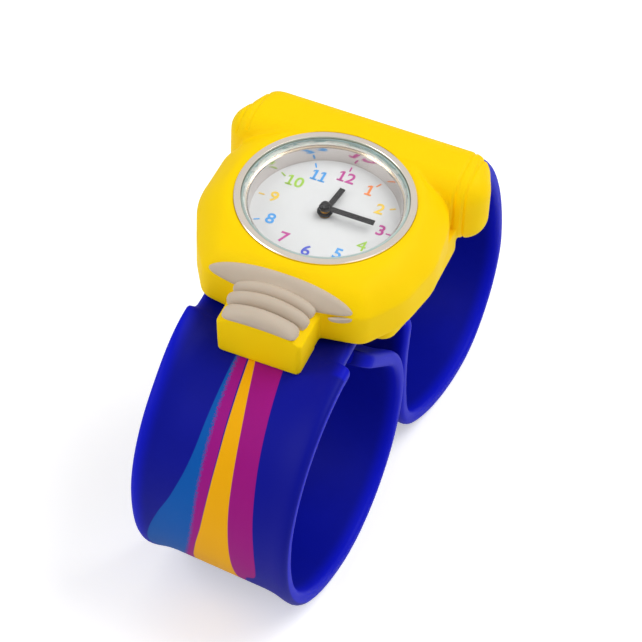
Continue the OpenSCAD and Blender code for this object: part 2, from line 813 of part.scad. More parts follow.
module train_bridge() {
    color("gainsboro") at_head() slab(bridge_depth, bridge_t) difference() {
        union() {
            for (p = bridge_posts) hull() {
                circle(r = post_r);
                translate(p) circle(r = post_r);
            }
            hull() {
                translate(rotor_at) circle(r = post_r);
                translate(third_at) circle(r = post_r);
            }
        }
        circle(r = arbor_r + run_gap);
        for (p = [third_at, step_at, rotor_at]) translate(p) circle(r = arbor_r + run_gap);
        for (p = bridge_posts) translate(p) circle(r = screw_r);
    }
}

module bridge_screws() {
    head_t = bridge_t / 2;
    head_depth = bridge_depth + bridge_t;
    tip_depth = plate_depth + 2 * plate_t;
    color("gray") at_head() for (p = bridge_posts) translate(p) difference() {
        union() {
            disc(screw_r - run_gap, tip_depth, head_depth - tip_depth);
            disc(2 * screw_r, head_depth, head_t);
        }
        translate([0, 0, -head_depth - head_t])
            cube([4 * screw_r + over, screw_r / 2, head_t], center = true);
    }
}

module dial_washer() {
    color("goldenrod") at_head()
        ring(2 * dial_hole_r, dial_hole_r, dial_back, wheel_t / 2);
}

// Two arms lead from the ring round the magnet to the ends of the coil's core.
module stator() {
    ring_w = post_r / 2;
    step_clear_r = second_module * (step_pinion_teeth / 2 + 1) + run_gap;
    color("dimgray") at_head() slab(stator_depth, stator_t) difference() {
        for (side = [-1, 1]) hull() {
            translate(rotor_at) circle(r = magnet_r + air_gap + ring_w);
            translate([side * coil_pad_x, coil_y]) circle(r = coil_pad_r);
        }
        translate(rotor_at) circle(r = magnet_r + air_gap);
        translate(step_at) circle(r = step_clear_r);
        for (p = bridge_posts) translate(p) circle(r = post_r + run_gap);
        coil_room();
    }
}

module coil_core() {
    color("dimgray") at_head() slab(stator_depth - stator_t, stator_t) {
        for (side = [-1, 1]) translate([side * coil_pad_x, coil_y]) circle(r = coil_pad_r);
        translate([0, coil_y]) square([2 * coil_pad_x, coil_r], center = true);
    }
}

module coil_winding() {
    color("peru") at_head() difference() {
        translate([-coil_l / 2, coil_y, -stator_depth + stator_t / 2]) rotate([0, 90, 0])
            cylinder(r = coil_r, h = coil_l);
        slab(stator_depth - stator_t, stator_t) translate([0, coil_y])
            square([2 * coil_pad_x, coil_r], center = true);
    }
}

module circuit_board() {
    color("seagreen") at_head() slab(board_depth, board_t) difference() {
        intersection() {
            circle(r = plate_r - seat_gap);
            translate([-plate_r, -plate_r / 32]) square([0.64 * plate_r, 0.58 * plate_r]);
        }
        for (p = bridge_posts) translate(p) circle(r = 3 * screw_r);
    }
}

module drive_chip() {
    chip = 4 * stem_r;
    color("black") at_head() slab(board_depth - chip / 2, chip / 2)
        translate(can_at + [can_r + chip / 2 + 3 * seat_gap, 0]) square(chip, center = true);
}

module quartz_can() {
    color("silver") at_head() translate([can_at[0], can_at[1] - can_l / 2, can_r - board_depth])
        rotate([-90, 0, 0]) cylinder(r = can_r, h = can_l);
}

module battery() {
    lip = cell_t / 6;
    color("silver") at_head() translate(cell_at) {
        disc(cell_r - lip, cell_top, lip);
        disc(cell_r, cell_top + lip, cell_t - lip);
    }
}

// A flat spring held round the head of a bridge screw presses on the cell.
module battery_clip() {
    color("goldenrod") at_head() slab(cell_top + cell_t, strip_t) difference() {
        union() {
            translate(cell_at) circle(r = cell_r / 2);
            hull() {
                translate(cell_at) circle(r = 2 * stem_r);
                translate(bridge_posts[1]) circle(r = 3 * screw_r);
            }
        }
        translate(bridge_posts[1]) circle(r = 2 * screw_r + seat_gap);
    }
}

// GEARS

// A gear outline with rounded-off trapezoid teeth. A tooth points along the x axis.
module gear(teeth, m) {
    pitch = 360 / teeth;
    root_r = m * (teeth / 2 - 1.15);
    pitch_r = m * teeth / 2;
    tip_r = m * (teeth / 2 + 0.75);
    root_share = 0.27;
    pitch_share = 0.205;
    tip_share = 0.085;
    polygon([for (k = [0:teeth - 1], c = [[-root_share, root_r], [-pitch_share, pitch_r],
        [-tip_share, tip_r], [tip_share, tip_r], [pitch_share, pitch_r], [root_share, root_r]])
        polar(c[1], (k + c[0]) * pitch)]);
}

// The gear that faces another one has a gap where the other has a tooth.
module facing_gear(teeth, m, dir) {
    rotate(dir + 180 + 180 / teeth) gear(teeth, m);
}

module bar_hand(reach, boss_r, bore, turn) {
    difference() {
        union() {
            circle(r = boss_r);
            rotate(90 - turn) translate([0, -hand_w / 2]) square([reach, hand_w]);
        }
        circle(r = bore);
    }
}

module minute_hand() {
    color("dimgray") at_head() slab(minute_depth, hand_t)
        bar_hand(minute_len, minute_boss_r, cannon_r - seat_gap, minute_turn);
}

// Toothed below and plain above, with a blind bore that grips the centre arbor.
module cannon_pinion() {
    pipe_top = minute_depth;
    color("goldenrod") at_head() difference() {
        union() {
            slab(motion_level, wheel_t) rotate(motion_dir) gear(cannon_teeth, cannon_module);
            disc(cannon_r, pipe_top + hand_t, motion_level - pipe_top - hand_t);
            disc(cannon_r - seat_gap, pipe_top, hand_t);
        }
        disc(centre_r + run_gap, hour_level, plate_depth);
    }
}

module centre_cap() {
    color("dimgray") at_head() translate([0, 0, -minute_depth]) rotate_extrude() polygon([[0, 0],
        [cap_r, 0], [cap_r, 0.7 * cap_h], [0.7 * cap_r, cap_h], [0, cap_h]]);
}

module hour_hand() {
    color("dimgray") at_head() slab(hour_depth, hand_t)
        bar_hand(hour_len, hour_boss_r, hour_post_r, hour_turn);
}

module hour_wheel() {
    pipe_bore = cannon_r + run_gap;
    color("goldenrod") at_head() difference() {
        union() {
            slab(hour_level, wheel_t) facing_gear(hour_teeth, hour_module, motion_dir + 180);
            disc(hour_post_r, hour_depth, hour_level - hour_depth + wheel_t / 2);
        }
        disc(pipe_bore, 0, plate_depth);
    }
}

module minute_wheel() {
    color("goldenrod") at_head() translate(motion_at) difference() {
        union() {
            slab(hour_level, wheel_t + wheel_level / 2)
                rotate(motion_dir + 180) gear(minute_pinion_teeth, hour_module);
            slab(motion_level, wheel_t) facing_gear(minute_teeth, cannon_module, motion_dir);
        }
        disc(arbor_r + run_gap, 0, plate_depth);
    }
}

module centre_wheel() {
    color("goldenrod") at_head() difference() {
        union() {
            slab(level_c, wheel_t) rotate(third_dir) gear(centre_teeth, centre_module);
            disc(centre_r, hour_level + run_gap, level_c - hour_level);
        }
        disc(arbor_r + run_gap, level_c - plate_t / 4, plate_t);
    }
}

module third_wheel() {
    color("goldenrod") at_head() translate(third_at) {
        slab(level_c, level_d - level_c) facing_gear(third_pinion_teeth, centre_module, third_dir);
        slab(level_d, wheel_t) rotate(third_dir + 180) gear(third_teeth, third_module);
        disc(arbor_r, plate_depth + plate_t / 2, bridge_depth + bridge_t / 2 - plate_depth - plate_t / 2);
    }
}

module second_wheel() {
    color("goldenrod") at_head() {
        slab(level_d, level_e - level_d) facing_gear(second_pinion_teeth, third_module, third_dir + 180);
        slab(level_e, wheel_t) rotate(step_dir) gear(second_teeth, second_module);
        disc(arbor_r, level_c - plate_t / 8, bridge_depth + bridge_t / 2 - level_c + plate_t / 8);
    }
}

module intermediate_wheel() {
    color("ivory") at_head() translate(step_at) {
        slab(level_d + wheel_t / 2, level_e - level_d + wheel_t / 2)
            facing_gear(step_pinion_teeth, second_module, step_dir);
        slab(level_d, wheel_t) rotate(rotor_dir) gear(step_teeth, step_module);
        disc(arbor_r, plate_depth + plate_t / 2, bridge_depth + bridge_t / 2 - plate_depth - plate_t / 2);
    }
}

module rotor_pinion() {
    color("ivory") at_head() translate(rotor_at) {
        slab(level_d, level_e - level_d) facing_gear(rotor_teeth, step_module, rotor_dir);
        disc(arbor_r, plate_depth + plate_t / 2, level_d - plate_depth);
        disc(arbor_r, level_e, bridge_depth + bridge_t / 2 - level_e);
    }
}

module rotor_magnet() {
    color("dimgray") at_head() translate(rotor_at) difference() {
        disc(magnet_r, level_e, bridge_depth - level_e - run_gap * 3);
        disc(arbor_r, 0, bridge_depth + bridge_t);
    }
}

// CROWN PIECES

module stem_piece(r, x_start, x_end) {
    translate([x_start, 0, -stem_depth]) rotate([0, 90, 0]) cylinder(r = r, h = x_end - x_start);
}

stem_start = motion_reach + stem_r;
crown_start = case_r + seat_gap;

module winding_stem() {
    color("silver") at_head() {
        stem_piece(stem_r, stem_start, lever_x - groove_w / 2);
        stem_piece(0.6 * stem_r, lever_x - groove_w / 2, lever_x + groove_w / 2);
        stem_piece(stem_r, lever_x + groove_w / 2, crown_start + crown_t / 2);
    }
}

module crown() {
    $fn = 48;
    flutes = 20;
    flute_r = crown_r * PI / flutes / 2;
    color("silver") at_head() translate([crown_start, 0, -stem_depth]) rotate([0, 90, 0]) difference() {
        cylinder(r = crown_r, h = crown_t);
        translate([0, 0, -over]) cylinder(r = stem_r, h = crown_t / 2 + over);
        for (k = [0:flutes - 1]) rotate(360 * k / flutes) translate([crown_r + flute_r / 2, 0, -over])
            cylinder(r = flute_r, h = crown_t + 2 * over, $fn = 16);
    }
}

// A flat lever on the back of the plate, whose fork stands in the stem's groove.
module setting_lever() {
    neck_r = 0.6 * stem_r + run_gap;
    fork_w = 0.7 * groove_w;
    fork_half = 2 * stem_r;
    lever_low = plate_depth + plate_t + run_gap + wheel_t;
    lever_l = 2 * post_r;
    color("silver") at_head() {
        difference() {
            translate([lever_x - fork_w / 2, -fork_half, -lever_low])
                cube([fork_w, 2 * fork_half, lever_low - stem_depth + stem_r / 2]);
            stem_piece(neck_r, lever_x - over, lever_x + over);
            translate([lever_x - over, -neck_r, -stem_depth]) cube([2 * over, 2 * neck_r, plate_t]);
        }
        slab(lever_low - wheel_t, wheel_t) translate([lever_x - fork_half, fork_half - lever_l - fork_half])
            square([2 * fork_half, lever_l + fork_half]);
    }
}

tube_cover();
shoulder_trim();
thread_ridges();
strap_sleeve();
spring_strip();
bezel();
glass();
glass_gasket();
reflector_ring();
dial();
case_band();
case_back();
back_gasket();
crown_tube();
movement_ring();
main_plate();
train_bridge();
bridge_screws();
dial_washer();
stator();
coil_core();
coil_winding();
circuit_board();
drive_chip();
quartz_can();
battery();
battery_clip();
minute_hand();
cannon_pinion();
centre_cap();
hour_hand();
hour_wheel();
minute_wheel();
centre_wheel();
third_wheel();
second_wheel();
intermediate_wheel();
rotor_pinion();
rotor_magnet();
setting_lever();
winding_stem();
crown();
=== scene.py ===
# %% [markdown]
# # A child's slap watch
# The watch has three worlds of material: a soft yellow silicone cover shaped like a squeezed
# paint tube, a deep blue silicone slap band that curls up when nobody wears it, and a small hard
# quartz capsule with a metal bezel and a mineral glass. The solids of the capsule come from the
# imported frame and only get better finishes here. The soft pieces are modelled new, because
# silicone shows rounded lips, folds and printed colour that plain solids leave out.

# %% Load the frame
import json
import math

import bpy
from mathutils import Matrix, Vector


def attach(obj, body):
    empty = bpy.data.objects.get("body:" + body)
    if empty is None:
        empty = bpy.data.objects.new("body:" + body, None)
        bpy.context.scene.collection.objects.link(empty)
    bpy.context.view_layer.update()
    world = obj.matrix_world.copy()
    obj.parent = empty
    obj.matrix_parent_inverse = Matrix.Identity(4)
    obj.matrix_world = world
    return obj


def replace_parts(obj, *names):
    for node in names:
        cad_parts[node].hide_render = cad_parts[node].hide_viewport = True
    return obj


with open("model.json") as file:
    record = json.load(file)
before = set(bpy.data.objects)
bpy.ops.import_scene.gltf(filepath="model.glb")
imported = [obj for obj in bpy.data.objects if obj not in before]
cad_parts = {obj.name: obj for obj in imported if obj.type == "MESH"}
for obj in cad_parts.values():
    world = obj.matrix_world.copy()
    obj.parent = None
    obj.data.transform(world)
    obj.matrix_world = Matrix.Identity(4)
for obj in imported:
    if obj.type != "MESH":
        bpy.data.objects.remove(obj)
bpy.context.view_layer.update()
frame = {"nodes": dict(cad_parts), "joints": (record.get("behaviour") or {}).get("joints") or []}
MM = 0.001


# %% [markdown]
# ## The head's own frame
# The head leans back because the watch rests on its two curls. Everything on the head is easier
# to draw lying flat, with the dial's face up and twelve o'clock along +Y. The slide joint that
# lets the capsule out of its cover starts in the middle of the bezel and points along the dial's
# axis, so it tells where that flat frame sits in the room.

# %% Frame of the head
lift = next(joint for joint in frame["joints"] if joint["name"] == "capsule_lift")
dial_axis = Vector(lift["axis"]).normalized()
lean_back = Matrix.Rotation(math.atan2(-dial_axis.y, dial_axis.z), 4, "X")
head_place = Matrix.Translation(Vector(lift["pos_m"])) @ lean_back
print("the head leans by", round(math.degrees(math.acos(dial_axis.z)), 1), "degrees")

# %% [markdown]
# ## Camera
# The photograph looks down on the dial from the six o'clock side with a long lens, which keeps
# the perspective flat. The camera's place, in millimetres, and its three directions are given in
# the flat frame of the head, so they follow the head if its lean changes.

# %% Camera at the photograph's angle
CAMERA_PLACE = Vector((105.9, -284.0, 310.2))
CAMERA_AXES = Matrix((
    (0.92257, 0.38425, 0.03477), (-0.30694, 0.67637, 0.66956), (0.23376, -0.62839, 0.74194),
))
SENSOR_W, LENS = 36.0, 179.4
camera_data = bpy.data.cameras.new("photo_camera")
camera_data.sensor_width, camera_data.lens = SENSOR_W, LENS
camera_data.clip_start, camera_data.clip_end = 0.01, 10.0
camera = bpy.data.objects.new("photo_camera", camera_data)
bpy.context.scene.collection.objects.link(camera)
camera_turn = CAMERA_AXES.transposed().to_4x4()
camera.matrix_world = head_place @ Matrix.Translation(CAMERA_PLACE * MM) @ camera_turn
bpy.context.scene.camera = camera
print("the camera stands", round(camera.matrix_world.translation.length, 3), "m away")

# %% [markdown]
# ## Light
# A product photograph like this one is lit by big soft boxes around a pale table. One large lamp
# stands above and behind the head, where it whitens the tops of the yellow form, and two weaker
# ones fill the front and the side.

# %% Soft boxes
# for each lamp: its place, the point that it faces, its two sides in metres, its power in watts
SOFT_BOXES = {
    "top_box": ((0.28, 0.12, 0.55), (0, 0, 0.04), (0.5, 0.4), 2.0),
    "front_box": ((-0.45, -0.35, 0.4), (0, 0, 0.03), (0.4, 0.4), 1.5),
    "side_box": ((0.5, -0.3, 0.25), (0, 0, 0.03), (0.3, 0.4), 0.25),
}
for name, (place, aim, sides, power) in SOFT_BOXES.items():
    lamp_data = bpy.data.lights.new(name, "AREA")
    lamp_data.shape = "RECTANGLE"
    lamp_data.size, lamp_data.size_y = sides
    lamp_data.energy = power
    lamp = bpy.data.objects.new(name, lamp_data)
    bpy.context.scene.collection.objects.link(lamp)
    lamp.location = place
    lamp.rotation_euler = (Vector(aim) - Vector(place)).to_track_quat("-Z", "Y").to_euler()
print("lit by", ", ".join(SOFT_BOXES))

# %% [markdown]
# ### Nodes and colours
# The studio's air, the paper floor and every finish are small networks of nodes. One function
# adds any node, sets its options and feeds its inputs, so a network reads like a list. Colours
# are written as they look on a screen, and one function turns them into linear light.

# %% Adding nodes and colours
def add_node(tree, kind, inputs=None, **settings):
    """Adds a node, sets its own options, and feeds its inputs with values or other sockets."""
    new = tree.nodes.new(kind)
    for key, value in settings.items():
        setattr(new, key, value)
    for key, value in (inputs or {}).items():
        if isinstance(value, bpy.types.NodeSocket):
            tree.links.new(value, new.inputs[key])
        else:
            new.inputs[key].default_value = value
    return new


def colour(hex_text):
    """The linear colour of an sRGB hex value."""
    shares = [int(hex_text[i:i + 2], 16) / 255 for i in (1, 3, 5)]
    return (*[s / 12.92 if s <= 0.04045 else ((s + 0.055) / 1.055) ** 2.4 for s in shares], 1.0)


print("a screen's middle grey is", round(colour("#808080")[0], 2), "in linear light")

# %% [markdown]
# ### The studio's air
# The room gives the rest of the light. It lights the watch at one level, and camera, glossy and
# clear rays see it at a whiter one, so metal and glass mirror a pale studio while the silicone
# keeps its full colour.

# %% World
AIR_ON_WATCH, AIR_AS_SEEN = 0.46, 0.75
world = bpy.data.worlds.new("pale_studio")
bpy.context.scene.world = world
world.use_nodes = True
air = world.node_tree
air.nodes.clear()
rays = add_node(air, "ShaderNodeLightPath")
seen = rays.outputs["Is Camera Ray"]
for kind in ("Is Glossy Ray", "Is Transmission Ray"):
    seen = add_node(
        air, "ShaderNodeMath", {0: seen, 1: rays.outputs[kind]}, operation="MAXIMUM"
    ).outputs[0]
level = add_node(
    air, "ShaderNodeMapRange", {"Value": seen, "To Min": AIR_ON_WATCH, "To Max": AIR_AS_SEEN}
)
white_air = {"Color": (1, 1, 1, 1), "Strength": level.outputs[0]}
backdrop = add_node(air, "ShaderNodeBackground", white_air)
add_node(air, "ShaderNodeOutputWorld", {"Surface": backdrop.outputs[0]})
print("the air lights the watch at", AIR_ON_WATCH, "and is seen at", AIR_AS_SEEN)

# %% [markdown]
# ### Starting a finish
# One function starts every finish: a principled shader with the plain values that are the same
# all over the surface. Each finish is named for the material and for how its surface was made.

# %% Starting a finish
def finish(name, base, **values):
    """A principled material. Returns it with its tree and its shader."""
    material = bpy.data.materials.new(name)
    material.use_nodes = True
    tree = material.node_tree
    tree.nodes.clear()
    shader = add_node(tree, "ShaderNodeBsdfPrincipled", {"Base Color": colour(base)})
    for key, value in values.items():
        shader.inputs[key.replace("_", " ")].default_value = value
    add_node(tree, "ShaderNodeOutputMaterial", {"Surface": shader.outputs[0]})
    return material, tree, shader


# %% [markdown]
# ### Paper floor
# The watch stands on a sheet of matt white paper. The paper glows a little for the camera alone.
# That makes it as white as in the photograph without more light on the watch, and the paper
# still takes the watch's shadow.

# %% Floor
PAPER_SIZE, PAPER_GLOW = 6.0, 0.4
bpy.ops.object.select_all(action="DESELECT")
bpy.ops.mesh.primitive_grid_add(
    x_subdivisions=4, y_subdivisions=4, size=PAPER_SIZE, location=(0, 0, 0)
)
floor = bpy.context.object
floor.name = "studio_floor"
# uncoated paper: no shine at all, a shade under pure white
paper, tree, shader = finish(
    "matte_paper_floor", "#F4F4F4", Roughness=0.9, Specular_IOR_Level=0.2,
    Emission_Color=(1, 1, 1, 1),
)
rays = add_node(tree, "ShaderNodeLightPath")
for_camera = {0: rays.outputs["Is Camera Ray"], 1: PAPER_GLOW}
glow = add_node(tree, "ShaderNodeMath", for_camera, operation="MULTIPLY")
tree.links.new(glow.outputs[0], shader.inputs["Emission Strength"])
floor.data.materials.append(paper)
print("the paper is", PAPER_SIZE, "m wide")

# %% [markdown]
# ## Patterns on a finish
# No real surface is the same all over. A pattern is noise on object coordinates, which are
# metres, so its scale is one over its real spacing in metres. The same pattern may then move the
# colour between two tones, the roughness between two values, and the skin in and out by a depth.

# %% Grain and what it moves
def grain(tree, size_mm, detail=2.0, stretch=(1, 1, 1)):
    """Noise whose blobs are about as wide as a real size in millimetres."""
    place = add_node(tree, "ShaderNodeTexCoord")
    drawn_out = {"Vector": place.outputs["Object"], "Scale": stretch}
    blobs = {"Vector": add_node(tree, "ShaderNodeMapping", drawn_out).outputs[0]}
    blobs |= {"Scale": 1 / (size_mm * MM), "Detail": detail}
    return add_node(tree, "ShaderNodeTexNoise", blobs).outputs["Fac"]


def patterned(tree, shader, pattern, tones=None, roughness=None, relief_mm=None, strength=1.0):
    """Lets a pattern move the shader's colour, roughness and relief, whichever are given."""
    if tones:
        ends = {"Factor": pattern, "A": colour(tones[0]), "B": colour(tones[1])}
        mixed = add_node(tree, "ShaderNodeMix", ends, data_type="RGBA")
        tree.links.new(mixed.outputs["Result"], shader.inputs["Base Color"])
    if roughness:
        span = {"Value": pattern, "To Min": roughness[0], "To Max": roughness[1]}
        spread = add_node(tree, "ShaderNodeMapRange", span)
        tree.links.new(spread.outputs[0], shader.inputs["Roughness"])
    if relief_mm:
        push = {"Height": pattern, "Distance": relief_mm * MM, "Strength": strength}
        relief = add_node(tree, "ShaderNodeBump", push)
        tree.links.new(relief.outputs[0], shader.inputs["Normal"])


# %% [markdown]
# ### Silicone
# Moulded silicone is satin: light goes a little way in and comes back softened, and the spark
# eroded mould leaves a skin as fine as a tenth of a millimetre. A slight cloudiness over several
# millimetres keeps large faces from looking painted.

# %% Yellow and grey silicone
SKIN_GRAIN, SKIN_DEPTH = 0.12, 0.012
# opaque yellow: the eye sees one warm, even colour with wide, weak highlights
yellow_silicone, tree, shader = finish(
    "yellow_silicone_moulded", "#FFD400", Roughness=0.58, IOR=1.41, Specular_IOR_Level=0.12,
    Subsurface_Weight=0.12, Subsurface_Scale=0.0012, Subsurface_Radius=(1.0, 0.7, 0.2),
)
patterned(tree, shader, grain(tree, 6.0, 3.0), tones=("#FFD100", "#FFD800"))
patterned(
    tree, shader, grain(tree, SKIN_GRAIN, 1.0),
    roughness=(0.5, 0.62), relief_mm=SKIN_DEPTH, strength=0.35,
)

# warm grey, more filled: drier and chalkier than the yellow beside it
grey_silicone, tree, shader = finish(
    "warm_grey_silicone_moulded", "#C2B4A2", Roughness=0.6, IOR=1.43,
    Subsurface_Weight=0.05, Subsurface_Scale=0.0008,
)
patterned(tree, shader, grain(tree, 4.0, 3.0), tones=("#BFAF9C", "#CBBCAA"))
patterned(
    tree, shader, grain(tree, SKIN_GRAIN, 1.0),
    roughness=(0.52, 0.68), relief_mm=SKIN_DEPTH, strength=0.4,
)
print("mixed", yellow_silicone.name, "and", grey_silicone.name)

# %% [markdown]
# ## The slap band
# The real band is cut flat, printed, and then takes its curl from a sprung steel strip inside.
# The model is made the same way: a flat grid is wrapped into the band's section, with its raised
# rims and recessed face, and then each ring of the section is carried along the curled route.
# The route is a chain of straight runs and arcs. It follows the solid's route, and is as long,
# but the inner end of the front coil runs out straight, as it does in the photograph.

# %% Route of the band
REST_TILT = math.radians(10.3)
BAND_DEPTH = 10.5
# a straight run is (length, 0), and an arc is (radius, turn in degrees)
FRONT_RUN = [(20.5, 0), (16.4, 90), (28, 72), (16, 103.95), (17, 50), (13.82, 0)]
REAR_RUN = [
    (18, 0), (13.4, -36), (50, -46.53), (13.5, -97.47), (31, -37.98), (14, -37.98), (45, -18),
    (25, -15.03),
]


def stretch_length(stretch):
    """Length of a straight run or of an arc, in millimetres."""
    size, turn = stretch
    return size if turn == 0 else size * math.radians(abs(turn))


FRONT_LENGTH = sum(map(stretch_length, FRONT_RUN))
REAR_LENGTH = sum(map(stretch_length, REAR_RUN))
print("the flat band is", round(FRONT_LENGTH + REAR_LENGTH, 1), "mm long")

# %% [markdown]
# A place on the band is its distance s along the flat strap from the dial's centre line, in
# millimetres, negative towards the front coil. Walking that far along the chain gives a point in
# the upright plane and the direction in which the band's outer face looks there.

# %% Walking along the route
def walk(run, distance, point, heading):
    """Point and heading after a distance along a chain of straight runs and arcs."""
    for stretch in run:
        size, turn = stretch
        length = stretch_length(stretch)
        step = min(distance, length) if stretch is not run[-1] else distance
        if turn == 0:
            point = point + step * Vector((math.cos(heading), math.sin(heading)))
            new = heading
        else:
            radius = math.copysign(size, turn)
            new = heading + step / radius
            sides = (math.sin(new) - math.sin(heading), math.cos(heading) - math.cos(new))
            point = point + radius * Vector(sides)
        heading = new
        if distance <= length:
            break
        distance -= length
    return point, heading


def band_at(s):
    """Middle layer and outward direction of the band in the upright plane, at s."""
    start = BAND_DEPTH * Vector((math.sin(REST_TILT), -math.cos(REST_TILT)))
    if s < 0:
        point, heading = walk(FRONT_RUN, -s, start, math.pi + REST_TILT)
        return point, Vector((math.sin(heading), -math.cos(heading)))
    point, heading = walk(REAR_RUN, s, start, REST_TILT)
    return point, Vector((-math.sin(heading), math.cos(heading)))


for end in (-FRONT_LENGTH, REAR_LENGTH):
    print("the band ends at", [round(value, 1) for value in band_at(end)[0]], "mm from the dial")

# %% [markdown]
# ### Outline and section
# Under the head the band narrows, so that the cover's loop can grip it between four little
# notches. Across, it has a raised rim along each edge, which keeps the printed face from rubbing,
# and a flat back. The section is a list of points that goes once round the band.

# %% Outline and section of the band
BAND_HALF_W, NECK_HALF_W, NECK_SKEW = 12.0, 11.05, -0.35
NOTCH_Y, NOTCH_SKEW, NOTCH_L, END_R = 18.5, 0.4, 0.7, 3.0
FACE_LEVEL, BACK_LEVEL = 0.5, -1.1
# distance from the edge and height over the middle layer, from the rim's foot to the back
RIM_SHAPE = [
    (5.0, FACE_LEVEL), (4.2, 0.54), (3.4, 0.62), (2.7, 0.74), (2.1, 0.88), (1.6, 0.98),
    (1.15, 1.04), (0.8, 1.04), (0.48, 0.96), (0.22, 0.8), (0.06, 0.56), (0.0, 0.3), (0.0, 0.0),
    (0.0, -0.5), (0.1, -0.82), (0.35, -1.03), (0.75, BACK_LEVEL),
]


def smooth(share):
    """A share kept between 0 and 1, with a soft start and end."""
    share = min(1.0, max(0.0, share))
    return share * share * (3 - 2 * share)


def half_width(s, side):
    """Half the band's width on one side: rounded free ends, and a neck under the head."""
    past_notch = (abs(s) - NOTCH_Y - side * NOTCH_SKEW) / NOTCH_L
    neck = NECK_HALF_W + side * NECK_SKEW
    width = neck + (BAND_HALF_W - neck) * smooth(past_notch)
    left = min(s + FRONT_LENGTH, REAR_LENGTH - s)
    if left < END_R:
        width -= END_R - math.sqrt(max(0.0, END_R ** 2 - (END_R - left) ** 2))
    return width


def band_section(left_width, right_width):
    """Points of the section across the band, going once round it."""
    right = [(right_width - inset, height) for inset, height in RIM_SHAPE]
    left = [(inset - left_width, height) for inset, height in reversed(RIM_SHAPE)]
    scale = left_width / BAND_HALF_W
    middle = [(across * scale, FACE_LEVEL) for across in (-6, -4.5, -3, -1.5, 0, 1.5, 3, 4.5, 6)]
    under = [(across * scale, BACK_LEVEL) for across in (9, 6, 3, 0, -3, -6, -9)]
    return middle + right + under + left


print("the section has", len(band_section(BAND_HALF_W, BAND_HALF_W)), "points")

# %% [markdown]
# ### A strap that is a little askew
# A sprung strap never closes quite square. In the photograph the front coil leans out on the
# right, its left corner curls up beside the neck, and the rear coil slips to the left where it
# runs up between the two. Three soft bumps along the route give this to the straight sweep.

# %% Lean, curl and drift
LEAN_OUT, LEAN_FROM, LEAN_TO = 2.2, 18.0, 86.0
CURL_UP, CURL_FROM, CURL_TOP, CURL_TO = 1.5, 16.6, 19.5, 32.0
CURL_SHARE = 0.52
DRIFT, DRIFT_FROM, DRIFT_L = -1.0, 85, 30


def askew(s, across):
    """How far a point of the coil stands outside the true path, by its place on the strap."""
    down = -s
    lean = curl = 0.0
    if LEAN_FROM < down < LEAN_TO:
        lean_share = (down - LEAN_FROM) / (LEAN_TO - LEAN_FROM)
        lean = LEAN_OUT * math.sin(math.pi * lean_share) ** 2
    if CURL_FROM < down <= CURL_TOP:
        rise = (down - CURL_FROM) / (CURL_TOP - CURL_FROM)
        curl = CURL_UP * math.sin(math.pi / 2 * rise) ** 2
    elif CURL_TOP < down < CURL_TO:
        fall = (down - CURL_TOP) / (CURL_TO - CURL_TOP)
        curl = CURL_UP * math.cos(math.pi / 2 * fall) ** 2
    outer = max(0.0, -across / BAND_HALF_W - CURL_SHARE) / (1 - CURL_SHARE)
    return lean * (1 + across / BAND_HALF_W) / 2 + curl * outer ** 2


def drift(s):
    """How far the rear coil slips sideways where it runs up between the two coils."""
    return DRIFT * smooth((s - DRIFT_FROM) / DRIFT_L)


print("the front coil leans out by up to", LEAN_OUT, "mm")

# %% [markdown]
# ### Small tools
# An operator works on whatever is selected, and the loaded frame leaves its solids selected, so
# every step starts by clearing the selection. Pieces are drawn in millimetres around the origin,
# then moved once into their place, so that each finished object sits at the origin, unturned.

# %% Selection and placing
WELD = 0.0005


def only(piece):
    """Selects one piece and makes it the active one."""
    if bpy.context.object and bpy.context.object.mode != "OBJECT":
        bpy.ops.object.mode_set(mode="OBJECT")
    bpy.ops.object.select_all(action="DESELECT")
    piece.select_set(True)
    bpy.context.view_layer.objects.active = piece
    return piece


def fresh(name):
    """Names the primitive that was just added and applies its place and size to its mesh."""
    piece = bpy.context.object
    piece.name = piece.data.name = name
    bpy.ops.object.transform_apply(location=True, rotation=True, scale=True)
    return piece


def welded(piece):
    """Merges points that lie on each other, and turns all faces outwards."""
    only(piece)
    bpy.ops.object.mode_set(mode="EDIT")
    bpy.ops.mesh.select_all(action="SELECT")
    bpy.ops.mesh.remove_doubles(threshold=WELD)
    bpy.ops.mesh.normals_make_consistent(inside=False)
    bpy.ops.object.mode_set(mode="OBJECT")
    return piece


def settle(piece, place=head_place):
    """Turns millimetres into metres, and moves the mesh into its place in the room."""
    piece.data.transform(place @ Matrix.Scale(MM, 4))
    piece.data.update()
    return piece


# %% [markdown]
# ### Wrapping and rolling the flat grid
# A grid could be bent by a curve modifier, but then its rims would not keep their section where
# the route turns tightly. So each row of the grid becomes one ring of the section, stood square
# to the route. The rings stand closer together at the ends and at the notches, where the outline
# changes fast.

# %% Places of the rings
EVEN_RINGS, NOTCH_RINGS, NOTCH_ROOM, CLOSEST = 330, 14, 0.1, 0.06
END_SHARES = (0.015, 0.05, 0.1, 0.17, 0.25, 0.35, 0.5, 0.65, 0.8)


def ring_places():
    """Distances along the band at which a ring of the section stands."""
    length = FRONT_LENGTH + REAR_LENGTH
    even = [-FRONT_LENGTH + length * k / EVEN_RINGS for k in range(EVEN_RINGS + 1)]
    ends = [END_R * share for share in END_SHARES]
    first = NOTCH_Y - NOTCH_SKEW - NOTCH_ROOM
    span = NOTCH_L + 2 * NOTCH_SKEW + 2 * NOTCH_ROOM
    steps = [first + span * k / NOTCH_RINGS for k in range(NOTCH_RINGS + 1)]
    extra = [-FRONT_LENGTH + e for e in ends] + [REAR_LENGTH - e for e in ends]
    extra += steps + [-e for e in steps]
    kept = []
    for s in sorted(even[1:-1] + extra):
        if not kept or s - kept[-1] > CLOSEST:
            kept.append(s)
    return kept


places = ring_places()
print("rings stand at", len(places), "places")

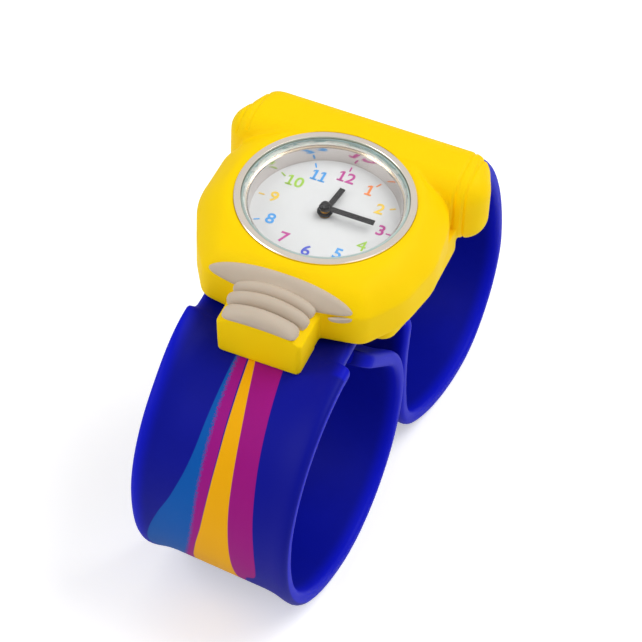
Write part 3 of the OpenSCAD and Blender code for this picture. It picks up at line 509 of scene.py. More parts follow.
# %% Wrapping a grid along the route
def wrapped(name, rings):
    """A flat grid wrapped into a closed section, ring after ring, and carried along the route."""
    around = len(rings[0][1])
    bpy.ops.object.select_all(action="DESELECT")
    bpy.ops.mesh.primitive_grid_add(x_subdivisions=around, y_subdivisions=len(rings) - 1, size=1.0)
    made = fresh(name)
    points = made.data.vertices
    order = sorted(range(len(points)), key=lambda i: (round(points[i].co.y, 6), points[i].co.x))
    head_at = head_place.translation / MM
    flat_place = {}
    for row, (s, section) in enumerate(rings):
        point, out = band_at(s)
        for column in range(around + 1):
            across, height = section[column % around]
            index = order[row * (around + 1) + column]
            place = point + (height + askew(s, across)) * out
            points[index].co = (across + drift(s), place.x + head_at.y, place.y + head_at.z)
            flat_place[index] = (s, across, height)
    print(name, "has", len(rings), "rings of", around, "points")
    return made, flat_place


def closed(piece):
    """Merges the long seam of a wrapped grid and fills its two open ends."""
    welded(piece)
    bpy.ops.object.mode_set(mode="EDIT")
    bpy.ops.mesh.select_mode(type="EDGE")
    bpy.ops.mesh.select_all(action="DESELECT")
    bpy.ops.mesh.select_non_manifold(
        extend=False, use_wire=False, use_multi_face=False, use_non_contiguous=False,
        use_verts=False,
    )
    bpy.ops.mesh.fill(use_beauty=True)
    bpy.ops.mesh.select_all(action="SELECT")
    bpy.ops.mesh.normals_make_consistent(inside=False)
    bpy.ops.object.mode_set(mode="OBJECT")


band_rings = [(s, band_section(half_width(s, -1), half_width(s, 1))) for s in places]
band, flat_place = wrapped("blue_band", band_rings)

# %% [markdown]
# ### Steel strip inside the band
# What makes the real strap snap round a wrist is a thin tape of sprung steel, sealed in the
# silicone. It must lean with the visible strap, or it would cut through it, so it is wrapped
# along the same route from the same rings, short of the two ends.

# %% Steel strip
STRIP_HALF_W, STRIP_LEVEL, STRIP_T, STRIP_MARGIN = 9.0, -0.3, 0.2, 8.5
steps = [STRIP_HALF_W * k / 4 for k in range(-4, 5)]
strip_section = [(x, STRIP_LEVEL + STRIP_T / 2) for x in steps]
strip_section += [(x, STRIP_LEVEL - STRIP_T / 2) for x in reversed(steps)]
inner = [s for s in places if STRIP_MARGIN - FRONT_LENGTH < s < REAR_LENGTH - STRIP_MARGIN]
strip, _ = wrapped("spring_strip_visual", [(s, strip_section) for s in inner])
closed(strip)
bpy.ops.object.shade_smooth_by_angle(angle=math.radians(40))
settle(strip, Matrix.Identity(4))
print("the strip is", round(inner[-1] - inner[0], 1), "mm long")

# %% [markdown]
# ### Flat map, seam and ends
# The print on the band follows the band and not the room, so each point remembers where it lay
# on the flat strap. The map holds the distance along and across, and an attribute tells the
# printed face from the edge and the back. The two long edges of the grid now lie on each other,
# so they are merged, and the two open ends are filled.

# %% Flat map, seam and ends
PRINTED_FROM = 0.45
flat_map = band.data.uv_layers.new(name="flat_strap")
for loop in band.data.loops:
    s, across, height = flat_place[loop.vertex_index]
    flat_map.data[loop.index].uv = (
        (s + FRONT_LENGTH) / (FRONT_LENGTH + REAR_LENGTH),
        (across + BAND_HALF_W) / (2 * BAND_HALF_W),
    )
for old in [layer.name for layer in band.data.uv_layers if layer.name != "flat_strap"]:
    band.data.uv_layers.remove(band.data.uv_layers[old])
printed = band.data.attributes.new("printed_face", "FLOAT", "POINT")
for index, (s, across, height) in flat_place.items():
    printed.data[index].value = 1.0 if height > PRINTED_FROM else 0.0
closed(band)
bpy.ops.object.shade_smooth_by_angle(angle=math.radians(50))
settle(band, Matrix.Identity(4))
print("band mesh:", len(band.data.polygons), "faces")

# %% [markdown]
# ### The streak of paint
# A streak of paint colours runs down the strap's front from the tube's mouth. Each colour's edge
# is a smooth curve over the distance along the strap. Float curve nodes hold these edges: they
# take the distance along, and give the place across. A colour shows where the place across lies
# between two edges.

# %% Edges of the streak
STREAK_START, STREAK_END = 21.5, 66.0
# distance down from the dial's centre line, and place across, in millimetres
STREAK_EDGES = {
    "blue_left": [
        (21.5, -3.0), (32.6, -3.4), (37.9, -4.0), (43.5, -5.7), (49.2, -8.1), (54.6, -9.8),
        (58.5, -10.4), (63, -10.0), (66, -9),
    ],
    "magenta_left": [
        (21.5, -2.75), (30.4, -2.35), (40.5, -2.15), (46.6, -2.45), (54, -3.6), (60.7, -5.2),
        (66, -6.5),
    ],
    "magenta_right": [
        (21.5, -1.6), (27, -0.95), (32, -0.6), (38, -0.45), (46.9, -1.2), (53.2, -2.5),
        (59.7, -3.7), (66, -4.3),
    ],
    "yellow_left": [
        (21.5, -1.35), (27, -0.75), (32, -0.42), (38, -0.33), (46.9, -1.15), (53.2, -2.45),
        (59.7, -3.65), (66, -4.0),
    ],
    "yellow_right": [
        (21.5, -0.6), (27.1, 0.7), (34.3, 1.95), (44.1, 2.75), (52, 3.0), (57, 3.1), (61.9, 3.3),
        (66, 4.4),
    ],
    "magenta_end": [
        (21.5, 3.6), (26.5, 4.25), (34.9, 5.3), (42.8, 6.3), (49, 6.85), (53.2, 6.85),
        (55.4, 6.5), (58, 4.7), (66, 4.6),
    ],
}


def streak_edge(tree, down, points):
    """Place across, in millimetres, of one printed edge."""
    shown = {"Value": down, "From Min": STREAK_START, "From Max": STREAK_END}
    share = add_node(tree, "ShaderNodeMapRange", shown)
    edge = add_node(tree, "ShaderNodeFloatCurve", {"Value": share.outputs[0]})
    line = edge.mapping.curves[0]
    spots = [
        ((d - STREAK_START) / (STREAK_END - STREAK_START), (a + BAND_HALF_W) / (2 * BAND_HALF_W))
        for d, a in points
    ]
    line.points[0].location, line.points[1].location = spots[0], spots[-1]
    for spot in spots[1:-1]:
        line.points.new(*spot)
    edge.mapping.update()
    back = {"Value": edge.outputs[0], "To Min": -BAND_HALF_W, "To Max": BAND_HALF_W}
    return add_node(tree, "ShaderNodeMapRange", back).outputs[0]


def step_over(tree, value, edge, softness):
    """0 before an edge and 1 after it, with a short ramp between."""
    over = add_node(tree, "ShaderNodeMath", {0: value, 1: edge}, operation="SUBTRACT")
    ramp = {"Value": over.outputs[0], "From Min": -softness, "From Max": softness}
    return add_node(tree, "ShaderNodeMapRange", ramp).outputs[0]


print("the streak has", len(STREAK_EDGES), "edges")

# %% [markdown]
# ### Blue silicone
# The strap's dye is deep blue all through. Its margins, outside the steel strip, are painted a
# brighter, purer blue: painted light, a painted glow along the rounded rims. Where an opaque
# pigment would look like paint, the dye is a mix of two near blues, with the light's blue part
# going deepest.

# %% Dyed blue silicone with a painted glow along its rims
# from and to where across the band the painted glow along the rims rises, in millimetres
PAINTED_GLOW_FROM, PAINTED_GLOW_TO = 9.4, 11.7
# see-through blue dye: dark in its middle, with a painted glow along its edges
blue_silicone, tree, shader = finish(
    "deep_blue_silicone_printed", "#060F90", Roughness=0.55, IOR=1.41, Specular_IOR_Level=0.14,
    Subsurface_Weight=0.08, Subsurface_Scale=0.001, Subsurface_Radius=(0.2, 0.3, 1.0),
)
flat = add_node(tree, "ShaderNodeUVMap", uv_map="flat_strap")
parts = add_node(tree, "ShaderNodeSeparateXYZ", {0: flat.outputs[0]})
to_length = {"Value": parts.outputs["X"], "To Min": FRONT_LENGTH, "To Max": -REAR_LENGTH}
along = add_node(tree, "ShaderNodeMapRange", to_length).outputs[0]
to_width = {"Value": parts.outputs["Y"], "To Min": -BAND_HALF_W, "To Max": BAND_HALF_W}
across = add_node(tree, "ShaderNodeMapRange", to_width).outputs[0]
clouds = {"Factor": grain(tree, 5.0, 3.0), "A": colour("#030C88"), "B": colour("#050F96")}
dye_and_painted_glow = add_node(tree, "ShaderNodeMix", clouds, data_type="RGBA")
# painted light: near the edges the blue is mixed towards a brighter one, a painted glow on the
# rims
painted_glow_mask = add_node(tree, "ShaderNodeMath", {0: across}, operation="ABSOLUTE")
painted_glow_mask = {"Value": painted_glow_mask.outputs[0], "From Min": PAINTED_GLOW_FROM, "From Max": PAINTED_GLOW_TO}
painted_glow_mask = add_node(tree, "ShaderNodeMapRange", painted_glow_mask, interpolation_type="SMOOTHSTEP")
lit = {"Factor": painted_glow_mask.outputs[0], "A": dye_and_painted_glow.outputs["Result"], "B": colour("#0410C4")}
dye_and_painted_glow = add_node(tree, "ShaderNodeMix", lit, data_type="RGBA").outputs["Result"]
patterned(
    tree, shader, grain(tree, 0.14, 1.0), roughness=(0.44, 0.56), relief_mm=SKIN_DEPTH,
    strength=0.3,
)
print("dye_and_painted_glow", blue_silicone.name)

# %% [markdown]
# The colours are laid one over another from left to right, each from its own edge on. The first
# edge of the magenta is sprayed, so it fades through a fine speckle. The real droplets are finer
# than the picture can show, so they are drawn about a tenth of a millimetre wide. The print ends
# under the tube's mouth and where the strap turns under, and it lies on the recessed face alone.

# %% Printing the streak
DROPLET, SPRAY_REACH, CRISP = 0.11, 0.3, 0.05
spray = {"Value": grain(tree, DROPLET, 0.0), "From Min": 0.3, "From Max": 0.7}
spray |= {"To Min": -SPRAY_REACH, "To Max": SPRAY_REACH}
spray = add_node(tree, "ShaderNodeMapRange", spray)
sprayed = add_node(tree, "ShaderNodeMath", {0: across, 1: spray.outputs[0]}, operation="ADD")
painted = dye_and_painted_glow
for edge, value, hex_text, soft in (
    ("blue_left", across, "#0058AE", CRISP),
    ("magenta_left", sprayed.outputs[0], "#9C0F82", 2 * CRISP),
    ("magenta_right", across, "#1A1C8C", CRISP),
    ("yellow_left", across, "#F2AE00", CRISP),
    ("yellow_right", across, "#9C0F7E", CRISP),
    ("magenta_end", across, "#040D90", CRISP),
):
    over = step_over(tree, value, streak_edge(tree, along, STREAK_EDGES[edge]), soft)
    laid = {"Factor": over, "A": painted, "B": colour(hex_text)}
    painted = add_node(tree, "ShaderNodeMix", laid, data_type="RGBA").outputs["Result"]
begun, ended = (step_over(tree, along, line, 4 * CRISP) for line in (STREAK_START, STREAK_END))
window = add_node(tree, "ShaderNodeMath", {0: begun, 1: ended}, operation="SUBTRACT")
face = add_node(tree, "ShaderNodeAttribute", attribute_name="printed_face")
window = {0: window.outputs[0], 1: face.outputs["Fac"]}
window = add_node(tree, "ShaderNodeMath", window, operation="MULTIPLY")
shown = {"Factor": window.outputs[0], "A": dye_and_painted_glow, "B": painted}
shown = add_node(tree, "ShaderNodeMix", shown, data_type="RGBA")
tree.links.new(shown.outputs["Result"], shader.inputs["Base Color"])
band.data.materials.append(blue_silicone)
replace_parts(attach(band, "cover"), "strap_sleeve")
print("printed the streak over", STREAK_END - STREAK_START, "mm of the strap")

# %% [markdown]
# ## The tube cover
# The cover is one soft moulding, but the eye reads it as a few forms: a flat shield round the
# dial, a rolled end at twelve like the folded tail of a paint tube, a square neck at six and a
# loop underneath. Each is blocked out from its own primitives, hulled where the form is convex,
# and all of them are then melted together by a voxel remesh and smoothed a little. That leaves
# the small soft fillets that silicone always has where two forms meet.

# %% Blocks
def disc_block(name, x, y, radius, low, high, vertices=72):
    """An upright round block between two levels."""
    bpy.ops.object.select_all(action="DESELECT")
    bpy.ops.mesh.primitive_cylinder_add(
        vertices=vertices, radius=radius, depth=high - low, location=(x, y, (low + high) / 2)
    )
    return fresh(name)


def box_block(name, low, high):
    """A square block between two corners."""
    low, high = Vector(low), Vector(high)
    bpy.ops.object.select_all(action="DESELECT")
    bpy.ops.mesh.primitive_cube_add(size=1.0, location=(low + high) / 2, scale=high - low)
    return fresh(name)


def ball_block(name, place, radius):
    """A ball round a place."""
    bpy.ops.object.select_all(action="DESELECT")
    bpy.ops.mesh.primitive_uv_sphere_add(segments=64, ring_count=32, radius=radius, location=place)
    return fresh(name)


# %% Joining, hulling, rounding and cutting blocks
def joined(pieces, name):
    """Joins several pieces into one."""
    only(pieces[0])
    for piece in pieces:
        piece.select_set(True)
    if len(pieces) > 1:
        bpy.ops.object.join()
    pieces[0].name = pieces[0].data.name = name
    return pieces[0]


def hulled(blocks, name):
    """Joins blocks and stretches one convex skin over them."""
    piece = joined(blocks, name)
    bpy.ops.object.mode_set(mode="EDIT")
    bpy.ops.mesh.select_all(action="SELECT")
    bpy.ops.mesh.convex_hull()
    bpy.ops.object.mode_set(mode="OBJECT")
    return piece


def bevel_where(piece, chosen, width, segments):
    """Rounds the edges whose middle and direction pass a test."""
    only(piece)
    bpy.ops.object.mode_set(mode="EDIT")
    bpy.ops.mesh.select_mode(type="EDGE")
    bpy.ops.mesh.select_all(action="DESELECT")
    bpy.ops.object.mode_set(mode="OBJECT")
    points = piece.data.vertices
    for edge in piece.data.edges:
        a, b = (points[i].co for i in edge.vertices)
        edge.select = chosen((a + b) / 2, (b - a).normalized())
    bpy.ops.object.mode_set(mode="EDIT")
    bpy.ops.mesh.bevel(offset=width, segments=segments, profile=0.5, affect="EDGES")
    bpy.ops.object.mode_set(mode="OBJECT")
    return piece


def finish_with(piece, kind, **settings):
    """Adds a modifier with its settings and applies it at once."""
    only(piece)
    modifier = piece.modifiers.new(kind.title(), kind)
    for key, value in settings.items():
        setattr(modifier, key, value)
    bpy.ops.object.modifier_apply(modifier=modifier.name)
    return piece


def cut_by(piece, tools, operation="DIFFERENCE"):
    """Cuts a piece by others, which are used up."""
    for tool in tools:
        finish_with(piece, "BOOLEAN", object=tool, operation=operation, solver="EXACT")
        bpy.data.objects.remove(tool, do_unlink=True)
    return piece


# %% [markdown]
# ### Body
# The shield round the dial has a wall up to a crease and a low dome above it. At each of its
# corners stands a disc for the wall, with ever smaller thin discs over it that climb along a
# quarter of a circle. One convex skin over all the discs and over the collar round the bezel
# gives the wall and the dome in one go. The two sides differ a little, as the soft body does.

# %% Blocking out the body
# for each side, the corners of the body: distance from the middle, place along, radius
BODY_CORNERS = {
    -1: [
        (12.2, 7.2, 3.6), (12.0, 4.0, 5.0), (6.1, -2.2, 11.0), (6.4, -7.3, 8.6),
        (9.4, -13.1, 3.0), (3.0, -9.1, 8.0),
    ],
    1: [
        (11.8, 7.0, 3.4), (11.4, 4.0, 5.0), (6.0, -2.0, 11.2), (7.4, -6.4, 9.0),
        (10.3, -12.7, 3.1), (3.0, -9.1, 8.0),
    ],
}
BODY_FOOT, CREASE, BEZEL_R = -9.3, -4.1, 12.5
BODY_ROUND, STEP_T, SMALLEST = 0.6, 0.02, 0.1
DOME_RADIUS, DOME_START, DOME_STEPS = 7.5, 25, (25, 32, 39, 46, 53, 60, 65)
COLLAR_W, COLLAR_LOW, COLLAR_TOP = 1.1, -0.8, -0.3


def dome_step(angle):
    """How far in and how high a disc of the dome lies, at an angle of its round."""
    start, here = math.radians(DOME_START), math.radians(angle)
    inset = DOME_RADIUS * (math.cos(start) - math.cos(here))
    return inset, DOME_RADIUS * (math.sin(here) - math.sin(start))


corner_blocks = []
for side, corners in BODY_CORNERS.items():
    for x, y, radius in corners:
        wall = disc_block("corner", side * x, y, radius, BODY_FOOT, CREASE)
        bevel_where(wall, lambda m, d: m.z < BODY_FOOT + 0.01, BODY_ROUND, 3)
        corner_blocks.append(wall)
        for inset, rise in map(dome_step, DOME_STEPS):
            if radius - inset > SMALLEST:
                top = CREASE + rise
                corner_blocks.append(
                    disc_block("dome_step", side * x, y, radius - inset, top - STEP_T, top)
                )
corner_blocks.append(
    disc_block("collar", 0, 0, BEZEL_R + COLLAR_W, COLLAR_LOW, COLLAR_TOP, 128)
)
body = hulled(corner_blocks, "tube_body")
print("body hull:", len(body.data.polygons), "faces")

# %% [markdown]
# ### Roll, neck and keeper loop
# The roll is a skin over eight balls. It is not quite even: its left end is pinched shorter. The
# neck is a box with rounded edges, cut by a lying cylinder whose arch carries the threads, and
# its bottom is drawn in on the left. The keeper loop under the body, through which the strap
# runs, is a skin over six round feet.

# %% Blocking out the roll
ROLL_ROUND, ROLL_H = 3.4, 11.3
ROLL_CORNERS = ((-15.15, 11.2), (-13.3, 15.0), (16.0, 12.2), (14.9, 14.9))
roll_balls = []
for x, y in ROLL_CORNERS:
    for z in (-ROLL_ROUND, ROLL_ROUND - ROLL_H):
        roll_balls.append(ball_block("roll_ball", (x, y, z), ROLL_ROUND))
roll = hulled(roll_balls, "tube_roll")
print("roll hull:", len(roll.data.polygons), "faces")

# %% Blocking out the neck
NECK_LEFT, NECK_RIGHT, NECK_MOUTH, NECK_ROOT = -6.3, 6.2, -23.2, -15.0
NECK_FOOT, NECK_TOP, NECK_DRAW = -10.2, -1.5, 0.45
ARCH_R, ARCH_CENTRE = 9.8, -12.3
neck = box_block(
    "tube_neck", (NECK_LEFT, NECK_MOUTH, NECK_FOOT), (NECK_RIGHT, NECK_ROOT, NECK_TOP)
)
for point in neck.data.vertices:
    if point.co.z < NECK_FOOT + 0.2 and point.co.x < 0:
        point.co.x += NECK_DRAW
bevel_where(neck, lambda m, d: abs(d.z) > 0.9, 0.7, 4)
bevel_where(neck, lambda m, d: m.z < NECK_FOOT + 0.1, 0.5, 3)
bpy.ops.object.select_all(action="DESELECT")
bpy.ops.mesh.primitive_cylinder_add(
    vertices=128, radius=ARCH_R, depth=16, location=(0, -20, ARCH_CENTRE),
    rotation=(math.radians(90), 0, 0),
)
cut_by(neck, [fresh("neck_arch")], "INTERSECT")
print("the neck is", NECK_RIGHT - NECK_LEFT, "mm wide")

# %% Blocking out the keeper loop
KEEPER_CORNERS = ((13.9, 8.9), (13.9, 0.0), (12.2, -8.2))
KEEPER_R, KEEPER_FOOT, KEEPER_TOP, KEEPER_ROUND = 2.2, -12.95, -8.0, 0.5
keeper_feet = []
for x, y in KEEPER_CORNERS:
    for side in (-1, 1):
        foot = disc_block("keeper_corner", side * x, y, KEEPER_R, KEEPER_FOOT, KEEPER_TOP)
        bevel_where(foot, lambda m, d: m.z < KEEPER_FOOT + 0.05, KEEPER_ROUND, 3)
        keeper_feet.append(foot)
keeper = hulled(keeper_feet, "keeper_loop")
print("keeper hull:", len(keeper.data.polygons), "faces")

# %% [markdown]
# ### Melting the forms together
# The four forms still meet in hard corners. A voxel remesh turns them into one skin, and a few
# rounds of smoothing melt the corners. The dome gets many more rounds than the wall, so that its
# stack of thin discs becomes one soft slope while the crease round the wall stays readable.

# %% Melting the forms together
VOXEL, DOME_END_Y = 0.26, 8.0
cover = joined([body, roll, neck, keeper], "yellow_cover")
cover.data.remesh_voxel_size = VOXEL
bpy.ops.object.voxel_remesh()
finish_with(cover, "SMOOTH", factor=0.5, iterations=6)
dome = cover.vertex_groups.new(name="dome")
for point in cover.data.vertices:
    above = min(1.0, max(0.0, (point.co.z - CREASE - 0.3) / 0.8))
    if point.co.y < DOME_END_Y and point.normal.z > 0.2:
        dome.add([point.index], above, "REPLACE")
finish_with(cover, "SMOOTH", factor=0.5, iterations=60, vertex_group="dome")
print("cover after remesh:", len(cover.data.polygons), "faces")

# %% [markdown]
# ### Folds
# The rolled end is creased twice at each side, as if its tail had been folded over. A crease is
# a narrow valley: each point near the fold plane is pushed in along its normal, less so the
# farther away it lies. The faces there are divided first, so that the valley stays smooth.

# %% Creases of the rolled end
FOLDS = (15.35, 16.8)
FOLD_DEPTH, FOLD_WIDTH, ROLL_FROM_Y = 0.19, 0.36, 8.5


def from_fold(x):
    """Distance of a place across from the nearest fold plane."""
    return min(abs(abs(x) - fold) for fold in FOLDS)


only(cover)
bpy.ops.object.mode_set(mode="EDIT")
bpy.ops.mesh.select_mode(type="FACE")
bpy.ops.mesh.select_all(action="DESELECT")
bpy.ops.object.mode_set(mode="OBJECT")
for face in cover.data.polygons:
    beside = from_fold(face.center.x) < 1.6 * FOLD_WIDTH
    face.select = face.center.y > ROLL_FROM_Y and beside
bpy.ops.object.mode_set(mode="EDIT")
bpy.ops.mesh.subdivide(number_cuts=2, smoothness=0.0)
bpy.ops.object.mode_set(mode="OBJECT")
directions = [point.normal.copy() for point in cover.data.vertices]
for point, direction in zip(cover.data.vertices, directions):
    away = from_fold(point.co.x) / FOLD_WIDTH
    if point.co.y > ROLL_FROM_Y and away < 1:
        point.co -= direction * FOLD_DEPTH * (1 + math.cos(math.pi * away)) / 2
print("creased at", FOLDS, "mm from the middle")

# %% [markdown]
# ### Openings
# The hard openings are cut last, so that their lips stay crisp: the seat of the bezel, the bore
# of the capsule with the hole through which a finger pushes it out, the tunnel of the band, and
# the slot and pocket of the crown. The rooms are joined first, so that the cover is cut once.

# %% Openings of the cover
SEAT_R, SEAT_FLOOR = BEZEL_R + 0.04, -1.6
BORE_R, BORE_FLOOR, PUSH_HOLE_R = 11.5, -8.6, 8.0
TUNNEL_HALF_W, TUNNEL_FLOOR, TUNNEL_TOP = 11.0, -11.8, -9.3
CROWN_HALF_W, CROWN_LOW, STEM_END, CROWN_END = 2.05, -7.47, 12.45, 13.85
rooms = disc_block("seat", 0, 0, SEAT_R, SEAT_FLOOR, 1.0, 192)
cut_by(rooms, [
    disc_block("bore", 0, 0, BORE_R, BORE_FLOOR, 0.0, 160),
    disc_block("push_hole", 0, 0, PUSH_HOLE_R, -10.2, -5.0, 128),
    box_block(
        "tunnel", (-TUNNEL_HALF_W, -18.0, TUNNEL_FLOOR), (TUNNEL_HALF_W, 20.0, TUNNEL_TOP)
    ),
    box_block("crown_slot", (0, -CROWN_HALF_W, CROWN_LOW), (STEM_END, CROWN_HALF_W, -1.0)),
    box_block("crown_pocket", (0, -CROWN_HALF_W, CROWN_LOW), (CROWN_END, CROWN_HALF_W, -3.37)),
], "UNION")
cut_by(cover, [rooms])
only(cover)
bpy.ops.object.shade_smooth_by_angle(angle=math.radians(38))
cover.data.materials.append(yellow_silicone)
print("cover:", len(cover.data.polygons), "faces")

# %% [markdown]
# ## Grey trim
# A crescent lies over the edge of the tube's shoulder. It has a puffy rounded section and blunt
# ends, and its lower edge follows the crease of the body, or the first ridge where the neck
# leaves. The crescent is a grid whose rows run between these two edges. Each point is dropped
# onto the cover by a slanting ray and then raised along the surface's own direction by the half
# round of the section.

# %% Crescent's edges and section
TRIM_HALF_W, TRIM_PUFF, TRIM_SINK, TRIM_T = 10.4, 0.55, 0.08, 0.45
UPPER_Y, UPPER_Z, BESIDE_Y, BESIDE_Z, ON_NECK_Y = -14.5, -1.1, -16.85, -3.85, -17.45
NECK_EDGE, NECK_HALF = 4.9, 6.2


def dropped(start, direction):
    """Place and direction of the cover's surface where a ray from outside meets it."""
    hit, place, normal, index = cover.ray_cast(start - 4 * direction, direction)
    return (place, normal) if hit else (start, -direction)


def trim_point(x, v):
    """A point of the crescent between its upper edge (v = -1) and its lower edge (v = 1)."""
    share = abs(x) / TRIM_HALF_W
    upper = Vector((x, UPPER_Y - 0.55 * share ** 2, UPPER_Z - 2.0 * share ** 2.6))
    beside_neck = Vector((x, BESIDE_Y + 0.95 * max(0.0, share - 0.55) / 0.45, BESIDE_Z))
    arch = math.sqrt(ARCH_R ** 2 - min(abs(x), NECK_HALF) ** 2) + ARCH_CENTRE
    on_neck = Vector((x, ON_NECK_Y, arch))
    lower = beside_neck.lerp(on_neck, 1.0 - smooth((abs(x) - NECK_EDGE) / 0.8))
    tip = (1 - min(1.0, share) ** 14) ** 0.5
    half = (lower - upper) / 2 * tip
    across = math.sin(v * math.pi / 2)
    slant = Vector((-0.25 * math.copysign(share ** 2, x), 0.62, -0.72)).normalized()
    place, normal = dropped((upper + lower) / 2 + half * across, slant)
    puff = TRIM_PUFF * min(1.0, 2 * half.length / 1.4) * (1 - across ** 4) ** 0.5
    return place + normal * (puff - TRIM_SINK)


# %% Laying the crescent on the shoulder
bpy.ops.object.select_all(action="DESELECT")
bpy.ops.mesh.primitive_grid_add(x_subdivisions=110, y_subdivisions=20, size=2.0)
crescent = fresh("grey_crescent")
for point in crescent.data.vertices:
    x = TRIM_HALF_W * math.sin(point.co.x * math.pi / 2)
    point.co = trim_point(x, -point.co.y)
welded(crescent)
finish_with(crescent, "SMOOTH", factor=0.5, iterations=3)
finish_with(crescent, "SOLIDIFY", thickness=TRIM_T, offset=-1.0)
only(crescent)
bpy.ops.object.shade_smooth_by_angle(angle=math.radians(60))
crescent.data.materials.append(grey_silicone)
settle(crescent)
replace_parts(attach(crescent, "cover"), "shoulder_trim")
print("crescent:", len(crescent.data.polygons), "faces")

# %% [markdown]
# ### Sliver
# A small sliver of the same grey lies on the wall under the crescent's right tip. It is a ball,
# stretched along the wall, with a full lower half and a flat upper one.

# %% Sliver under the crescent's right tip
SLIVER_PLACE = Vector((9.3, -16.1, -4.2))
ALONG_WALL, OUT_OF_WALL = Vector((0.91, 0.41, 0)), Vector((0.41, -0.91, 0))
SLIVER_HALF_L, SLIVER_HALF_T, SLIVER_LOW, SLIVER_HIGH = 2.0, 0.3, 0.9, 0.12
bpy.ops.object.select_all(action="DESELECT")
bpy.ops.mesh.primitive_uv_sphere_add(segments=32, ring_count=16, radius=1.0)
sliver = fresh("grey_sliver")
for point in sliver.data.vertices:
    x, y, z = point.co
    rise = Vector((0, 0, z * (SLIVER_LOW if z < 0 else SLIVER_HIGH)))
    flat_part = ALONG_WALL * x * SLIVER_HALF_L + OUT_OF_WALL * y * SLIVER_HALF_T
    point.co = SLIVER_PLACE + flat_part + rise
bpy.ops.object.shade_smooth()
sliver.data.materials.append(grey_silicone)
settle(sliver)
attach(sliver, "cover")
print("the sliver is", 2 * SLIVER_HALF_L, "mm long")

# %% [markdown]
# ### Thread ridges
# Each ridge is a sausage with rounded ends, bent over the neck's arch. A sphere is stretched
# along its poles into that sausage, with its rings spread so that the middle keeps its full
# thickness, and then each point is carried round the arch's centre line. The front ridge sits on
# the straight upper edge of the neck's face, so its underside is drawn level.

# %% Shape of a ridge
# each row: place along the neck, arch radius, depth of the arch's centre, half thickness, half
# length, and the level of the underside where it is flat
RIDGES = [
    (-17.5, 9.95, 12.3, 1.05, 5.65, None),
    (-19.6, 9.85, 12.3, 1.18, 5.6, None),
    (-22.15, 11.5, 14.35, 1.33, 5.45, -3.9),
]
RIDGE_LIFT, RIDGE_BLUNT = 1.25, 12


def ridge_point(unit, middle_y, radius, depth, thick, half_length, foot):
    """Where a point of the unit ball, with its poles along x, lies on a ridge."""
    pole = max(-1.0, min(1.0, unit.x))
    ring = max(1e-6, math.hypot(unit.y, unit.z))
    along = math.asin(pole) / (math.pi / 2)
    full = (1 - abs(along) ** RIDGE_BLUNT) ** 0.5
    turn = along * math.asin(half_length / radius)
    y = middle_y + unit.y / ring * thick * full
    up = unit.z / ring * thick * RIDGE_LIFT * full
    if foot is None:
        return ((radius + up) * math.sin(turn), y, (radius + up) * math.cos(turn) - depth)
    half = ((radius + thick * RIDGE_LIFT) * math.cos(turn) - depth - foot) / 2
    return (radius * math.sin(turn), y, foot + half + half * unit.z / ring * full)


# %% Three ridges over the neck
ridges = []
for row in RIDGES:
    bpy.ops.object.select_all(action="DESELECT")
    bpy.ops.mesh.primitive_uv_sphere_add(
        segments=40, ring_count=48, radius=1.0, rotation=(0, math.radians(90), 0)
    )
    ridge = fresh("ridge")
    for point in ridge.data.vertices:
        point.co = ridge_point(point.co, *row)
    ridges.append(ridge)
ridges = welded(joined(ridges, "grey_thread_ridges"))
bpy.ops.object.shade_smooth()
ridges.data.materials.append(grey_silicone)
settle(ridges)
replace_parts(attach(ridges, "cover"), "thread_ridges")
print("laid", len(RIDGES), "ridges over the neck")

# %% [markdown]
# The crescent had to be dropped onto the cover while that still lay flat in millimetres. Now all
# its trim is laid, so the cover too takes its place in the room.

# %% Placing the cover
settle(cover)
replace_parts(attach(cover, "cover"), "tube_cover")
print("the cover is", round(cover.dimensions.x / MM, 1), "mm wide")

# %% [markdown]
# ## Numbers and ticks
# The dial is printed with upright numbers, each hour in its own bright colour, and a short tick
# outside each one. Pad printing lays a thin, slightly uneven film of ink, so the colours look
# flat and a touch paler in places.

# %% Inks
INKS = {
    "magenta": "#AE0080", "light_blue": "#1488CE", "lime": "#8AB400", "warm_yellow": "#DEB600",
    "orange": "#E07400", "royal_blue": "#1030B4",
}
HOURS = {
    12: "magenta", 1: "orange", 2: "warm_yellow", 3: "magenta", 4: "lime", 5: "light_blue",
    6: "royal_blue", 7: "magenta", 8: "light_blue", 9: "warm_yellow", 10: "lime", 11: "light_blue",
}
THINNEST = 0.1
ink_finishes = {}
for ink, hex_text in INKS.items():
    # pad printing ink: a dry, flat colour with hardly any shine
    ink_finishes[ink], tree, shader = finish(
        ink + "_pad_printing_ink", hex_text, Roughness=0.45, IOR=1.5
    )
    film = grain(tree, 0.5, 2.0)
    patterned(tree, shader, film, roughness=(0.38, 0.52))
    thin_film = {"Factor": film, "A": colour(hex_text), "B": colour("#FFFFFF")}
    paler = add_node(tree, "ShaderNodeMix", thin_film, data_type="RGBA")
    faint = {"Factor": THINNEST, "A": colour(hex_text), "B": paler.outputs["Result"]}
    faint = add_node(tree, "ShaderNodeMix", faint, data_type="RGBA")
    tree.links.new(faint.outputs["Result"], shader.inputs["Base Color"])
print("mixed", len(ink_finishes), "inks")

# %% [markdown]
# ### Figures
# Printing ink has almost no height, so the figures are turned into meshes a few hundredths of a
# millimetre thick, just proud of the dial. Each figure is modelled once and copied. The figure 1
# has a flag and a foot, which the plain typeface lacks, so it is made of three bars.

# %% Bars and the figure 1
FIGURE_H, STROKE, INK = 1.95, 0.34, 0.02
FOOT_HALF_W, FOOT_H, FLAG_DROP = 0.5, 0.28, 0.24


def bar(left, low, right, high):
    """A flat bar of ink between two corners."""
    bpy.ops.object.select_all(action="DESELECT")
    bpy.ops.mesh.primitive_cube_add(
        size=1.0, location=((left + right) / 2, (low + high) / 2, 0),
        scale=(right - left, high - low, 2 * INK),
    )
    return fresh("bar")


